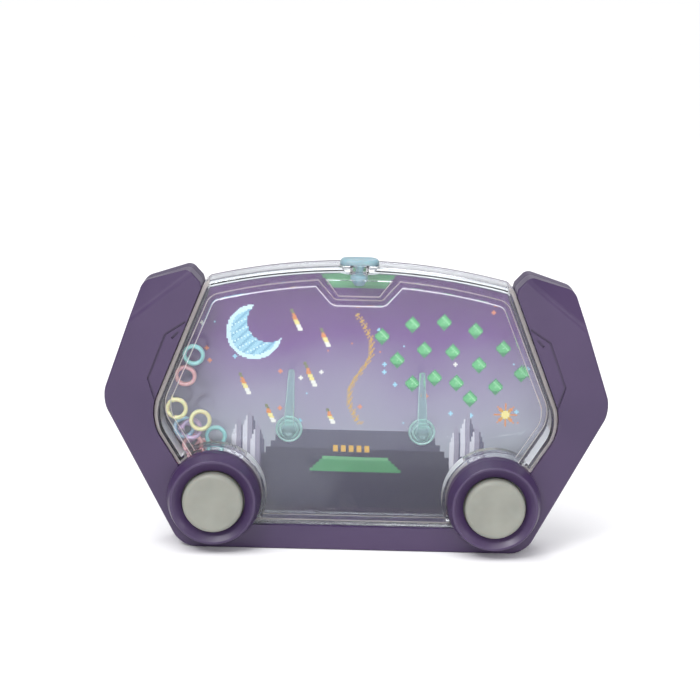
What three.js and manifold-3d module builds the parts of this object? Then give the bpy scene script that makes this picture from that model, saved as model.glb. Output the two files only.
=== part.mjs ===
// Handheld water game: a clear water tank with pegs and loose rings, held in a two-part casing
// whose two push buttons squeeze rubber bellows. Millimetres, +Z up, the front faces -Y.
import * as THREE from 'three';
import { mergeVertices } from 'three/addons/utils/BufferGeometryUtils.js';
import Module from 'manifold-3d';

const wasm = await Module();
wasm.setup();

// Clearances
const touchGap = 0.3;          // between pieces that rest on or in each other
const slideGap = 0.4;          // round a piece that slides
const overrun = 1;             // how far a cutter passes the face it cuts

// Depth stations, front to back, measured from the middle of the toy
const toyDepth = 27.4;
const frontY = -toyDepth / 2;  // the button caps' faces
const backY = toyDepth / 2;    // the rear cover's flat back
const wingFaceY = -4.2;
const rimFaceY = -5.1;         // the tank's rim, a little proud of the wings
const partingY = 4;            // where the two casing halves meet
const weldY = 5.4;             // where the two tank shells meet
const tankBackY = 9.4;

// Height of the tank's arch, which the casing's shoulders and the pane follow
const archTop = 91;

// Casing
const casingWall = 2;
const casingRound = 2.2;
const faceRound = 1.1;          // the front casing's edge is sharper
const peakDrop = 2.2;          // the shoulder blocks' peaks lie this far below the arch's top
const casingTop = archTop - peakDrop;
const peakX = 52.6;
const peakRound = 2.6;
const shoulderX = 67.2;
const shoulderDrop = 4.8;
const shoulderRound = 4;
const widestX = 79.6;          // the side's corner, before it is rounded
const widestZ = 47.5;
const widestRound = 10;
const baseHalf = 54.5;
const baseRound = 8;
const innerShoulderX = 49;
const innerShoulderDrop = 3.9;
const coverDrop = 4;           // how far the rear cover's top edge lies below the tank's arch
const creaseTopX = 51.4;       // each wing's top corner slopes back from this crease
const creaseTopZ = 88.1;
const creaseFootX = 71.1;
const creaseFootZ = 72.6;
const facetDeep = 5.5;         // how far back the slope lies at the shoulder

// Tank
const archRadius = 196;
const tankTopHalf = 47.6;
const tankTopRound = 3;
const tankBendX = 64.8;
const tankBendZ = 41.8;
const tankBendRound = 13.5;
const tankFootHalf = 43.6;
const tankFootZ = 8;
const tankFootRound = 4;
const tankWall = 2;
const rimRound = 1.8;
const backRound = 1;
const paneRise = 1;
const paneInnerY = -3.6;       // inner face of the front wall
const tankFloorY = 7.9;        // inner face of the back wall
const flangeOut = 1.6;
const flangeThick = 1.5;
const flangeDrop = 19;         // its ends lie this far below the arch's top

// Front pane: its arch, corners and the notch below the filler
const paneDrop = 5.5;
const paneTop = archTop - paneDrop;
const paneTopRadius = 178;
const paneTopHalf = 44.8;
const paneTopRound = 3;
const paneBendX = 59;
const paneBendZ = 45.4;
const paneBendRound = 8;
const paneFootHalf = 37.8;
const paneFootZ = 11.6;
const notchTopHalf = 13.2;
const notchFootHalf = 8;
const notchDeep = 6.4;
const notchRound = 2.4;
const stepFootHalf = 6.4;      // shallow step cut in the rim inside the notch
const stepTopHalf = 10.4;
const stepFootDrop = 4;
const stepTopRise = 1.3;
const stepDeep = 0.5;

// Pumps and buttons
const buttonX = 43.95;
const buttonZ = 16.9;
const buttonRadius = 9.45;
const buttonEdge = 0.9;
const buttonWall = 1.4;
const buttonFlange = 1.2;      // how far the cap's flange stands out
const buttonFlangeThick = 1.2;
const collarRadius = 14.7;
const ridgeRadius = 13.4;
const ridgeWide = 0.5;
const ridgeY = -12.6;
const collarKneeY = -7.6;      // where the outer cone turns straight
const dishY = -10.6;           // bottom of the dish round the button
const lipThick = 1.6;
const wellWall = 1.2;
const wellFloorY = 1;          // front face of the tank's well floor
const wellFloorThick = 1.6;
const pumpRadius = 13.5;       // the tank's round foot behind each pump
const portRadius = 2.9;
const stemRadius = 3;
const bellowsFrontY = -8.9;
const bellowsRadius = 8.2;
const bellowsWaist = 6.6;
const bellowsWall = 0.9;
const bellowsFlange = 1.6;     // how far its flange passes its body
const bellowsFlangeThick = 1.1;
const bellowsShares = [[0, 0], [0, 0.12], [1, 0.32], [0, 0.52], [1, 0.72], [0, 0.92]];  // [out, along]
const retainerGrip = 0.6;
const retainerThick = 1.5;
const nozzleFlangeRadius = 4.4;
const nozzleFlangeThick = 1;
const spoutRadius = 2;
const spoutBore = 1.1;
const spoutLong = 9;
const spoutTurn = 35;          // degrees above level, towards the pegs

// Pegs
const pegX = 21.15;
const pegZ = 36.6;
const pegDiscRadius = 4.3;
const pegDiscThick = 1.3;
const pegStepRadius = 3.1;
const pegStepThick = 0.6;
const pegStubRadius = 2;
const pegMiddleY = 2.15;
const pegTall = 21.3;
const pegLean = 1.8;           // degrees that each post leans towards the middle
const pegFootWide = 3.6;
const pegTipWide = 1.9;
const pegTipRound = 0.9;
const tipShare = 0.7;
const pegDeepShare = 0.72;     // how deep the post is for its width

// Rings
const ringOuter = 3.5;
const ringBore = 2.27;
const ringThick = 1.6;
const ringEdge = 0.4;

// Filler plug
const plugCapWide = 12.2;
const plugCapDeep = 8;
const plugCapThick = 1.9;
const plugCapRound = 1.3;
const plugCornerRound = 3.8;
const plugNeckRadius = 1.65;
const plugNeckLong = 2.9;
const plugBulbRadius = 2.7;
const plugBulbLong = 3.8;
const bulbShoulder = 0.7;
const bulbTipShare = 0.5;
const plugSeatDrop = 0.6;      // how far the cap's seat lies below the arch
const fillerCollarDrop = 1;    // how far the hole's collar hangs below the top wall

// Card, ribs and screws
const cardThick = 0.4;
const cardInset = 2.4;
const ribThick = 1.4;
const screwHeadRadius = 2.3;
const screwHeadThick = 1.6;
const screwShankRadius = 1.15;
const screwLong = 11;
const screwSink = 2.4;         // how deep the head's seat lies in the back
const screwDome = 0.6;
const crossShare = 0.6;
const crossWideShare = 0.16;
const bossRadius = 3;
const bossRoom = 1;            // round the cover's bosses where they pass the cradle
const upperScrewX = 58.5;
const upperScrewDrop = 10.3;   // below the shoulder blocks' peaks
const sideScrewX = 70.8;
const sideScrewZ = 46;
const lowerScrewX = 15;
const lowerScrewZ = 4.1;
const ribHeightShares = [0.24, 0.7];
const ribSideX = 30;

// Lines cut in each wing, as shares of the widest corner's X and the casing's height
const grooveWide = 0.7;
const grooveDeep = 0.6;
const grooveShares = [
  [[0.672, 0.815], [0.749, 0.77], [0.816, 0.611], [0.788, 0.532]],
  [[0.7, 0.778], [0.724, 0.755]],
];

// Rings at rest: radii in from the tank's side, share of the water's depth, radii up from the
// tank's bend, and the tilt about the X axis in degrees
const tossRings = [
  { name: 'turquoise_low', placeShares: [3.25, 0.75, -2.17], tilt: 0, color: '#9ccfcd' },
  { name: 'yellow', placeShares: [3.22, 0, -0.24], tilt: 0, color: '#e3dda0' },
  { name: 'lilac', placeShares: [1.99, 0.25, -1.2], tilt: 0, color: '#c9b4cf' },
  { name: 'blue', placeShares: [1.37, 0.5, -1.23], tilt: 0, color: '#a9cbe0' },
  { name: 'pink_low', placeShares: [1.07, 0.75, -3.01], tilt: 0, color: '#e0b3b6' },
  { name: 'pink_foot', placeShares: [1.63, 1, -3.54], tilt: 0, color: '#e0b3b6' },
  { name: 'lilac_low', placeShares: [1.05, 1, -2.06], tilt: 0, color: '#c9b4cf' },
  { name: 'turquoise_high', placeShares: [1.02, 0.25, 5.57], tilt: 9, color: '#9ccfcd' },
  { name: 'pink_high', placeShares: [1.06, 0.5, 3.51], tilt: 9, color: '#e0b3b6' },
  { name: 'yellow_high', placeShares: [1.46, 0, 0.79], tilt: 0, color: '#e3dda0' },
];

// Fineness
const cornerSteps = 4;
const archSteps = 6;
const edgeSteps = 2;
const roundSteps = 36;
const hiddenSteps = 24;
const ringSteps = 16;
const spoutSteps = 10;
const bossSteps = 12;
const mergeReach = 1e-5;

// Turns a closed geometry into a solid that can be joined and cut
function solidOf(geometry) {
  const bare = geometry.clone();
  bare.deleteAttribute('normal');
  bare.deleteAttribute('uv');
  const merged = mergeVertices(bare, mergeReach);
  const corners = merged.index.array;
  const faces = [];
  for (let i = 0; i < corners.length; i += 3) {
    const [a, b, c] = corners.slice(i, i + 3);
    if (a !== b && b !== c && c !== a) faces.push(a, b, c);
  }
  return new wasm.Manifold(new wasm.Mesh({
    numProp: 3,
    vertProperties: new Float32Array(merged.attributes.position.array),
    triVerts: new Uint32Array(faces),
  }));
}

// Turns a solid back into a geometry
function geometryOf(solid) {
  const mesh = solid.getMesh();
  const geometry = new THREE.BufferGeometry();
  geometry.setAttribute('position', new THREE.BufferAttribute(new Float32Array(mesh.vertProperties), 3));
  geometry.setIndex(new THREE.BufferAttribute(new Uint32Array(mesh.triVerts), 1));
  geometry.computeVertexNormals();
  return geometry;
}

// Rounds the corners of an outline given as [x, z, radius] rows
function roundedOutline(rows) {
  const points = [];
  rows.forEach(([x, z, radius], i) => {
    const corner = new THREE.Vector2(x, z);
    if (!radius) {
      points.push(corner);
      return;
    }
    const last = rows[(i + rows.length - 1) % rows.length];
    const next = rows[(i + 1) % rows.length];
    const back = new THREE.Vector2(last[0], last[1]).sub(corner).normalize();
    const ahead = new THREE.Vector2(next[0], next[1]).sub(corner).normalize();
    const half = Math.acos(THREE.MathUtils.clamp(back.dot(ahead), -1, 1)) / 2;
    const middle = back.clone().add(ahead).normalize().multiplyScalar(radius / Math.sin(half)).add(corner);
    const start = corner.clone().addScaledVector(back, radius / Math.tan(half)).sub(middle);
    const end = corner.clone().addScaledVector(ahead, radius / Math.tan(half)).sub(middle);
    const turn = Math.atan2(start.cross(end), start.dot(end));
    for (let k = 0; k <= cornerSteps; k += 1) {
      points.push(start.clone().rotateAround(new THREE.Vector2(), turn * k / cornerSteps).add(middle));
    }
  });
  return points;
}

// Moves every edge of a clockwise outline out by a distance, or in if it is negative
function offsetRows(rows, distance) {
  return rows.map(([x, z, radius], i) => {
    const here = new THREE.Vector2(x, z);
    const last = rows[(i + rows.length - 1) % rows.length];
    const next = rows[(i + 1) % rows.length];
    const before = here.clone().sub(new THREE.Vector2(last[0], last[1])).normalize();
    const after = new THREE.Vector2(next[0], next[1]).sub(here).normalize();
    const outBefore = new THREE.Vector2(-before.y, before.x);
    const outAfter = new THREE.Vector2(-after.y, after.x);
    const bisector = outBefore.add(outAfter).normalize();
    const moved = here.addScaledVector(bisector, distance / bisector.dot(outAfter));
    const grown = before.cross(after) < 0 ? radius + distance : radius - distance;
    return [moved.x, moved.y, radius ? Math.max(grown, 0) : 0];
  });
}

// Adds the left half to the rows of the right half, which run clockwise from the top middle
function mirrored(rows) {
  const left = rows.filter(([x]) => x > 0).reverse().map(([x, z, radius]) => [-x, z, radius]);
  return [...rows, ...left];
}

function archHeight(x, top, radius) {
  return top - radius + Math.sqrt(radius * radius - x * x);
}

// Rows along an arch from one x to another; the last one's corner can be rounded
function archRows(fromX, toX, top, radius, endRound = 0) {
  const rows = [];
  for (let k = 0; k <= archSteps; k += 1) {
    const x = fromX + (toX - fromX) * k / archSteps;
    rows.push([x, archHeight(x, top, radius), k === archSteps ? endRound : 0]);
  }
  return rows;
}

// A plate with an X-Z outline between two depths
function plate(rows, fromY, toY) {
  const shape = new THREE.Shape(roundedOutline(rows));
  const geometry = new THREE.ExtrudeGeometry(shape, { depth: toY - fromY, bevelEnabled: false });
  geometry.rotateX(Math.PI / 2);
  geometry.translate(0, toY, 0);
  return solidOf(geometry);
}

// The same with its front or back edge rounded, or chamfered with one step
function edgedPlate(rows, fromY, toY, radius, steps, side) {
  const shape = new THREE.Shape(roundedOutline(rows));
  const extra = radius + overrun;
  const depth = toY - fromY + extra;
  const geometry = new THREE.ExtrudeGeometry(shape, {
    depth: depth - 2 * radius, bevelEnabled: true, bevelThickness: radius, bevelSize: radius,
    bevelOffset: -radius, bevelSegments: steps,
  });
  geometry.rotateX(Math.PI / 2);
  const lastY = side === 'front' ? toY + extra : toY;
  geometry.translate(0, lastY - radius, 0);
  const cut = side === 'front' ? slab(toY, lastY + overrun) : slab(fromY - extra - overrun, fromY);
  return solidOf(geometry).subtract(cut);
}

function block(fromX, toX, fromY, toY, fromZ, toZ) {
  const geometry = new THREE.BoxGeometry(toX - fromX, toY - fromY, toZ - fromZ);
  geometry.translate((fromX + toX) / 2, (fromY + toY) / 2, (fromZ + toZ) / 2);
  return solidOf(geometry);
}

// Everything between two depths
function slab(fromY, toY) {
  return block(-widestX * 2, widestX * 2, fromY, toY, -widestX, widestX * 2);
}

// A solid of revolution about the Y axis through (x, z); the profile is radius and depth pairs
function turned(profile, x, z, steps = roundSteps) {
  const points = profile.map(([radius, y]) => new THREE.Vector2(radius, y));
  const geometry = new THREE.LatheGeometry(points, steps);
  geometry.translate(x, 0, z);
  return solidOf(geometry);
}

function disc(radius, fromY, toY, x, z, steps = roundSteps) {
  return turned([[0, fromY], [radius, fromY], [radius, toY], [0, toY]], x, z, steps);
}

// Reverses every face, after a scaling that mirrors
function turnInsideOut(geometry) {
  geometry.index.array.reverse();
}

// A solid of revolution about a vertical axis; the profile is radius and height pairs
function upright(profile, x, y, steps = roundSteps) {
  const points = profile.map(([radius, z]) => new THREE.Vector2(radius, z));
  const geometry = new THREE.LatheGeometry(points, steps);
  geometry.rotateX(Math.PI / 2);
  geometry.scale(1, -1, 1);
  turnInsideOut(geometry);
  geometry.translate(x, y, 0);
  return solidOf(geometry);
}

// Outlines
const tankRows = mirrored([
  ...archRows(0, tankTopHalf, archTop, archRadius, tankTopRound),
  [tankBendX, tankBendZ, tankBendRound],
  [tankFootHalf, tankFootZ, tankFootRound],
]);

const paneRows = mirrored([
  [0, paneTop - notchDeep, 0],
  [notchFootHalf, paneTop - notchDeep, notchRound],
  ...archRows(notchTopHalf, paneTopHalf, paneTop, paneTopRadius, paneTopRound),
  [paneBendX, paneBendZ, paneBendRound],
  [paneFootHalf, paneFootZ, paneTopRound],
]);

const casingRows = mirrored([
  ...archRows(0, innerShoulderX - casingRound / 2, archTop - coverDrop, archRadius - coverDrop),
  [innerShoulderX, casingTop - innerShoulderDrop, 0],
  [peakX, casingTop, peakRound],
  [shoulderX, casingTop - shoulderDrop, shoulderRound],
  [widestX, widestZ, widestRound],
  [baseHalf, 0, baseRound],
]);

// What both pump sides share: their X and the way to the middle
const pumpSides = [['left', -1], ['right', 1]];
const upperScrewZ = casingTop - upperScrewDrop;
const screwPlaces = [
  [upperScrewX, upperScrewZ], [-upperScrewX, upperScrewZ],
  [sideScrewX, sideScrewZ], [-sideScrewX, sideScrewZ],
  [lowerScrewX, lowerScrewZ], [-lowerScrewX, lowerScrewZ],
];
const chamberRadius = collarRadius - casingWall;
const wellRadius = collarRadius + touchGap;
const lipBackY = dishY + lipThick;
const skirtEndY = wellFloorY - touchGap;
const seatY = backY - screwSink;
const boreRadius = buttonRadius + slideGap;
const fillerHoleRadius = plugBulbRadius + touchGap;
const screwHoleRadius = screwShankRadius + touchGap;

// The water space in front of or behind the weld, with the foot behind each pump
function waterSpace(fromY, toY) {
  let space = plate(offsetRows(tankRows, -tankWall), fromY, toY);
  pumpSides.forEach(([, side]) => {
    const floorBack = wellFloorY + wellFloorThick;
    const x = side * buttonX;
    space = space.subtract(disc(wellRadius + wellWall, fromY - overrun, floorBack, x, buttonZ));
    space = space.add(disc(pumpRadius - tankWall, Math.max(fromY, floorBack), toY, x, buttonZ));
  });
  return space;
}

// A block under the plug's cap, this much larger than the cap all round
function underCap(grow, fromZ, toZ) {
  const halfWide = plugCapWide / 2 + grow;
  const halfDeep = plugCapDeep / 2 + grow;
  return block(-halfWide, halfWide, pegMiddleY - halfDeep, pegMiddleY + halfDeep, fromZ, toZ);
}

// The slot through the arch, across both shells, that takes the collar with the cap on it
function fillerSlot() {
  return underCap(slideGap, archTop - tankWall - overrun, archTop + overrun);
}

// Thick collar round the filler hole, let into the top of both shells
function fillerCollar() {
  const footZ = archTop - tankWall - fillerCollarDrop;
  const topZ = archTop - plugSeatDrop;
  return underCap(slideGap - touchGap, footZ, topZ).subtract(upright([
    [0, footZ - overrun], [fillerHoleRadius, footZ - overrun], [fillerHoleRadius, topZ + overrun], [0, topZ + overrun],
  ], 0, pegMiddleY));
}

function tankFront() {
  let shell = edgedPlate(tankRows, rimFaceY, weldY, rimRound, edgeSteps, 'front');
  let pane = edgedPlate(paneRows, rimFaceY - paneRise, paneInnerY, paneRise, 1, 'front');
  pumpSides.forEach(([, side]) => {
    const x = side * buttonX;
    pane = pane.subtract(disc(wellRadius + wellWall, rimFaceY - paneRise - overrun, paneInnerY + overrun, x, buttonZ));
    shell = shell.add(disc(pumpRadius, wellFloorY, weldY, x, buttonZ));
    shell = shell.subtract(disc(wellRadius, rimFaceY - overrun, wellFloorY, x, buttonZ));
  });
  shell = shell.add(pane).subtract(waterSpace(paneInnerY, weldY + overrun));
  pumpSides.forEach(([, side]) => {
    shell = shell.subtract(disc(portRadius, wellFloorY - overrun, wellFloorY + wellFloorThick + overrun,
      side * buttonX, buttonZ));
  });
  const stepTopZ = paneTop + stepTopRise;
  const stepFootZ = paneTop - stepFootDrop;
  const step = plate(mirrored([
    [0, stepTopZ, 0], [stepTopHalf, stepTopZ, 0], [stepFootHalf, stepFootZ, 0], [0, stepFootZ, 0],
  ]), rimFaceY - overrun, rimFaceY + stepDeep);
  return shell.subtract(fillerSlot()).subtract(step);
}

// The flange that the casing traps runs round the sides and foot of the tank's back shell
function tankFlange(grow, fromY, toY) {
  return plate(offsetRows(tankRows, flangeOut + grow), fromY, toY)
    .subtract(block(-widestX, widestX, fromY - overrun, toY + overrun,
      archTop - flangeDrop + grow, archTop * 2));
}

function tankBack() {
  const fromY = weldY + touchGap;
  let shell = edgedPlate(tankRows, fromY, tankBackY, backRound, edgeSteps, 'back');
  shell = shell.add(tankFlange(0, fromY, fromY + flangeThick));
  pumpSides.forEach(([, side]) => {
    shell = shell.add(disc(pumpRadius, fromY, tankBackY, side * buttonX, buttonZ));
  });
  return shell.subtract(waterSpace(fromY - overrun, tankFloorY)).subtract(fillerSlot());
}

// What must stay clear for the tank, its flange and its pump feet
function tankRoom(fromY, toY) {
  let room = plate(offsetRows(tankRows, touchGap), fromY, toY);
  if (toY > skirtEndY) {
    pumpSides.forEach(([, side]) => {
      const start = Math.max(fromY, skirtEndY);
      room = room.add(disc(pumpRadius + touchGap, start, toY, side * buttonX, buttonZ));
    });
  }
  if (toY > weldY) room = room.add(tankFlange(touchGap, Math.max(fromY, weldY), weldY + flangeThick + 2 * touchGap));
  return room;
}

// Closed ring of revolution: the collar round a button, with its ridge, dish, lip and skirt
function collar(x) {
  return turned([
    [collarRadius, skirtEndY], [chamberRadius, skirtEndY], [chamberRadius, lipBackY],
    [boreRadius, lipBackY], [boreRadius, dishY],
    [ridgeRadius - ridgeWide, ridgeY], [ridgeRadius, ridgeY],
    [collarRadius, collarKneeY], [collarRadius, skirtEndY],
  ], x, buttonZ);
}

// A channel along a line of [x, z] points
function channel(line, fromY, toY) {
  const path = line.map(([x, z]) => new THREE.Vector2(x, z));
  const sides = [[], []];
  path.forEach((p, i) => {
    const along = path[Math.min(i + 1, path.length - 1)].clone().sub(path[Math.max(i - 1, 0)]).normalize();
    const across = new THREE.Vector2(-along.y, along.x).multiplyScalar(grooveWide / 2);
    sides[0].push([p.x + across.x, p.y + across.y, 0]);
    sides[1].unshift([p.x - across.x, p.y - across.y, 0]);
  });
  return plate([...sides[0], ...sides[1]], fromY, toY);
}

// What lies in front of a wing's sloped top corner, moved back by a distance
function facetCut(side, back) {
  const along = new THREE.Vector2(creaseFootX - creaseTopX, creaseFootZ - creaseTopZ);
  const turn = Math.atan2(-along.y, along.x);
  const out = shoulderX - creaseTopX;
  const up = casingTop - shoulderDrop - creaseTopZ;
  const slope = Math.atan2(facetDeep, out * Math.sin(turn) + up * Math.cos(turn));
  const long = along.length();
  const wedge = block(-long, long * 2, -long, 0, -overrun, long)
    .rotate([-THREE.MathUtils.radToDeg(slope), THREE.MathUtils.radToDeg(turn), 0])
    .translate([creaseTopX, wingFaceY + back, creaseTopZ]);
  return side > 0 ? wedge : wedge.mirror([1, 0, 0]);
}

function frontCasing() {
  let shell = edgedPlate(casingRows, wingFaceY, partingY, faceRound, edgeSteps, 'front');
  const cradleRows = offsetRows(tankRows, touchGap + casingWall);
  const innerFaceY = wingFaceY + casingWall;
  let hollow = plate(offsetRows(casingRows, -casingWall), innerFaceY, partingY + overrun)
    .subtract(plate(cradleRows, innerFaceY - overrun, partingY + 2 * overrun));
  let tongue = plate(cradleRows, partingY - overrun, weldY)
    .intersect(plate(offsetRows(casingRows, -casingWall - touchGap), partingY - 2 * overrun, weldY + overrun));
  screwPlaces.forEach(([x, z]) => {
    tongue = tongue.subtract(disc(bossRadius + bossRoom, partingY, weldY + overrun, x, z, bossSteps));
  });
  pumpSides.forEach(([, side]) => {
    shell = shell.subtract(facetCut(side, 0));
    hollow = hollow.subtract(facetCut(side, casingWall));
  });
  shell = shell.subtract(hollow).add(tongue);
  screwPlaces.forEach(([x, z]) => {
    shell = shell.add(disc(bossRadius, innerFaceY, partingY, x, z, bossSteps));
  });
  shell = shell.subtract(tankRoom(wingFaceY - overrun, weldY + overrun));
  pumpSides.forEach(([, side]) => {
    const x = side * buttonX;
    shell = shell.subtract(disc(chamberRadius, wingFaceY - overrun, weldY + overrun, x, buttonZ)).add(collar(x));
    shell = shell.subtract(disc(pumpRadius + touchGap, skirtEndY, weldY + overrun, x, buttonZ));
    grooveShares.forEach((line) => {
      const places = line.map(([out, up]) => [side * out * widestX, up * casingTop]);
      shell = shell.subtract(channel(places, wingFaceY - overrun, wingFaceY + grooveDeep));
    });
  });
  screwPlaces.forEach(([x, z]) => {
    shell = shell.subtract(disc(screwHoleRadius, innerFaceY + casingWall, partingY + overrun, x, z, bossSteps));
  });
  return shell;
}

function rearCover() {
  const fromY = partingY + touchGap;
  const innerY = backY - casingWall;
  const ribY = tankBackY + 2 * touchGap + cardThick;
  let shell = edgedPlate(casingRows, fromY, backY, casingRound, edgeSteps, 'back');
  shell = shell.subtract(plate(offsetRows(casingRows, -casingWall), fromY - overrun, innerY));
  const ribRoom = plate(offsetRows(tankRows, -tankWall), ribY, innerY + touchGap);
  const ribs = [];
  ribHeightShares.forEach((share) => {
    const z = share * archTop;
    ribs.push(block(-widestX, widestX, ribY, innerY + touchGap, z - ribThick / 2, z + ribThick / 2));
  });
  [-1, 0, 1].forEach((side) => {
    const x = side * ribSideX;
    ribs.push(block(x - ribThick / 2, x + ribThick / 2, ribY, innerY + touchGap, 0, archTop - 2 * coverDrop));
  });
  const grid = ribs.reduce((sum, rib) => sum.add(rib)).intersect(ribRoom);
  shell = shell.add(grid);
  screwPlaces.forEach(([x, z]) => {
    shell = shell.add(disc(bossRadius, fromY, innerY + touchGap, x, z, bossSteps));
  });
  shell = shell.subtract(tankRoom(fromY - overrun, ribY));
  screwPlaces.forEach(([x, z]) => {
    shell = shell.subtract(disc(screwHoleRadius, fromY - overrun, backY + overrun, x, z, bossSteps));
    shell = shell.subtract(disc(screwHeadRadius + touchGap, seatY, backY + overrun, x, z, bossSteps));
  });
  return shell;
}

// The printed card fits behind the tank, with its top edge below the rear cover's
function backdropCard() {
  const fromY = tankBackY + touchGap;
  const sheet = plate(offsetRows(tankRows, -cardInset), fromY, fromY + cardThick);
  const top = archTop - coverDrop - touchGap;
  const above = plate(mirrored([
    [0, archTop * 2, 0], [widestX, archTop * 2, 0],
    ...archRows(0, widestX, top, archRadius - coverDrop).reverse(),
  ].filter(([x], i, all) => x > 0 || i === 0 || i === all.length - 1)), fromY - overrun, fromY + cardThick + overrun);
  return sheet.subtract(above);
}

// A cup with a flange behind the collar's lip and a stem for the bellows
function buttonCap(x) {
  const flangeY = lipBackY + touchGap;
  const skirtY = flangeY + buttonFlangeThick;
  const inside = buttonRadius - buttonWall;
  const stemY = bellowsFrontY - touchGap;
  return turned([
    [0, frontY], [buttonRadius - buttonEdge, frontY],
    ...[1, 2].map((k) => {
      const angle = Math.PI / 2 * k / 3;
      return [buttonRadius - buttonEdge + buttonEdge * Math.sin(angle), frontY + buttonEdge * (1 - Math.cos(angle))];
    }),
    [buttonRadius, frontY + buttonEdge], [buttonRadius, flangeY],
    [buttonRadius + buttonFlange, flangeY], [buttonRadius + buttonFlange, skirtY], [inside, skirtY],
    [inside, frontY + buttonWall], [stemRadius, frontY + buttonWall], [stemRadius, stemY], [0, stemY],
  ], x, buttonZ);
}

// Rubber bellows, closed in front and open to the nozzle behind
function bellows(x) {
  const flangeFrontY = skirtEndY - bellowsFlangeThick;
  const span = flangeFrontY - bellowsFrontY;
  const outside = bellowsShares.map(([out, along]) => [
    bellowsWaist + (bellowsRadius - bellowsWaist) * out, bellowsFrontY + span * along,
  ]);
  const inside = outside.slice().reverse().map(([radius, y]) => [radius - bellowsWall, y]);
  inside[0][1] = skirtEndY;
  const crown = bellowsFrontY + bellowsWall;
  inside[inside.length - 1][1] = crown;
  return turned([
    [0, bellowsFrontY], ...outside,
    [bellowsRadius + bellowsFlange, flangeFrontY], [bellowsRadius + bellowsFlange, skirtEndY],
    ...inside, [0, crown],
  ], x, buttonZ, hiddenSteps);
}

// Ring over the bellows' flange
function retainer(x) {
  const inner = bellowsRadius + retainerGrip;
  const step = bellowsRadius + bellowsFlange + touchGap;
  const outer = chamberRadius - touchGap;
  const frontFace = skirtEndY - bellowsFlangeThick - touchGap - retainerThick;
  const stepY = skirtEndY - bellowsFlangeThick - touchGap;
  return turned([
    [outer, frontFace], [outer, skirtEndY], [step, skirtEndY], [step, stepY], [inner, stepY],
    [inner, frontFace], [outer, frontFace],
  ], x, buttonZ, hiddenSteps);
}

// Elbow that leads a pump's water up towards the peg on its side
function nozzle(side) {
  const x = side * buttonX;
  const stubRadius = portRadius - touchGap;
  const middleY = (wellFloorY + wellFloorThick + tankFloorY) / 2;
  const endY = middleY + spoutRadius;
  const body = turned([
    [0, skirtEndY - nozzleFlangeThick], [nozzleFlangeRadius, skirtEndY - nozzleFlangeThick],
    [nozzleFlangeRadius, skirtEndY], [stubRadius, skirtEndY], [stubRadius, endY], [0, endY],
  ], x, buttonZ, bossSteps);
  const along = (radius, from, to) => {
    const geometry = new THREE.CylinderGeometry(radius, radius, to - from, spoutSteps);
    geometry.translate(0, (from + to) / 2, 0);
    geometry.rotateZ(side * (Math.PI / 2 - THREE.MathUtils.degToRad(spoutTurn)));
    geometry.rotateX(Math.PI / 2);
    geometry.translate(x, middleY, buttonZ);
    return solidOf(geometry);
  };
  return body.add(along(spoutRadius, 0, spoutLong))
    .subtract(along(spoutBore, 0, spoutLong + overrun))
    .subtract(disc(spoutBore, skirtEndY - nozzleFlangeThick - overrun, middleY, x, buttonZ, bossSteps));
}

// Ringed disc on the back wall, a stub that stands out of it and an upright post
function peg(side) {
  const x = side * pegX;
  const backFaceY = tankFloorY - touchGap;
  const stepY = backFaceY - pegDiscThick;
  const base = turned([
    [0, pegMiddleY], [pegStubRadius, pegMiddleY], [pegStubRadius, stepY - pegStepThick],
    [pegStepRadius, stepY - pegStepThick], [pegStepRadius, stepY], [pegDiscRadius, stepY],
    [pegDiscRadius, backFaceY], [0, backFaceY],
  ], x, pegZ, spoutSteps * 2);
  const tipZ = pegZ + pegTall;
  const points = [
    [0, pegZ], [pegFootWide / 2, pegZ], [pegTipWide / 2, tipZ - pegTipRound],
    [pegTipWide / 2 * tipShare, tipZ - pegTipRound * (1 - tipShare)], [0, tipZ],
  ].map(([radius, z]) => new THREE.Vector2(radius, z));
  const geometry = new THREE.LatheGeometry(points, spoutSteps);
  geometry.rotateX(Math.PI / 2);
  geometry.scale(1, -pegDeepShare, 1);
  turnInsideOut(geometry);
  geometry.translate(0, 0, -pegZ);
  geometry.rotateY(THREE.MathUtils.degToRad(-side * pegLean));
  geometry.translate(x, pegMiddleY, pegZ);
  return base.add(solidOf(geometry));
}

// X at a height on a line that runs along the tank's leaning side, a distance in from its outside
function sideX(z, inward) {
  const topZ = archHeight(tankTopHalf, archTop, archRadius);
  const [endX, endZ] = z > tankBendZ ? [tankTopHalf, topZ] : [tankFootHalf, tankFootZ];
  const lean = Math.hypot(tankBendX - endX, tankBendZ - endZ) / Math.abs(tankBendZ - endZ);
  return THREE.MathUtils.mapLinear(z, endZ, tankBendZ, endX, tankBendX) - inward * lean;
}

// A flat tossing ring with crowned edges, in the left of the tank
function tossRing([inShare, depthShare, upShare], tilt) {
  const half = ringThick / 2;
  const z = tankBendZ + upShare * ringOuter;
  const y = THREE.MathUtils.lerp(paneInnerY + touchGap + half, tankFloorY - touchGap - half, depthShare);
  const profile = [
    [ringBore, 0], [ringBore + ringEdge, -half], [ringOuter - ringEdge, -half],
    [ringOuter, 0], [ringOuter - ringEdge, half], [ringBore + ringEdge, half], [ringBore, 0],
  ].map(([radius, along]) => new THREE.Vector2(radius, along));
  const geometry = new THREE.LatheGeometry(profile, ringSteps);
  geometry.rotateX(THREE.MathUtils.degToRad(tilt));
  geometry.translate(-sideX(z, tankWall + inShare * ringOuter), y, z);
  return solidOf(geometry);
}

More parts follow.
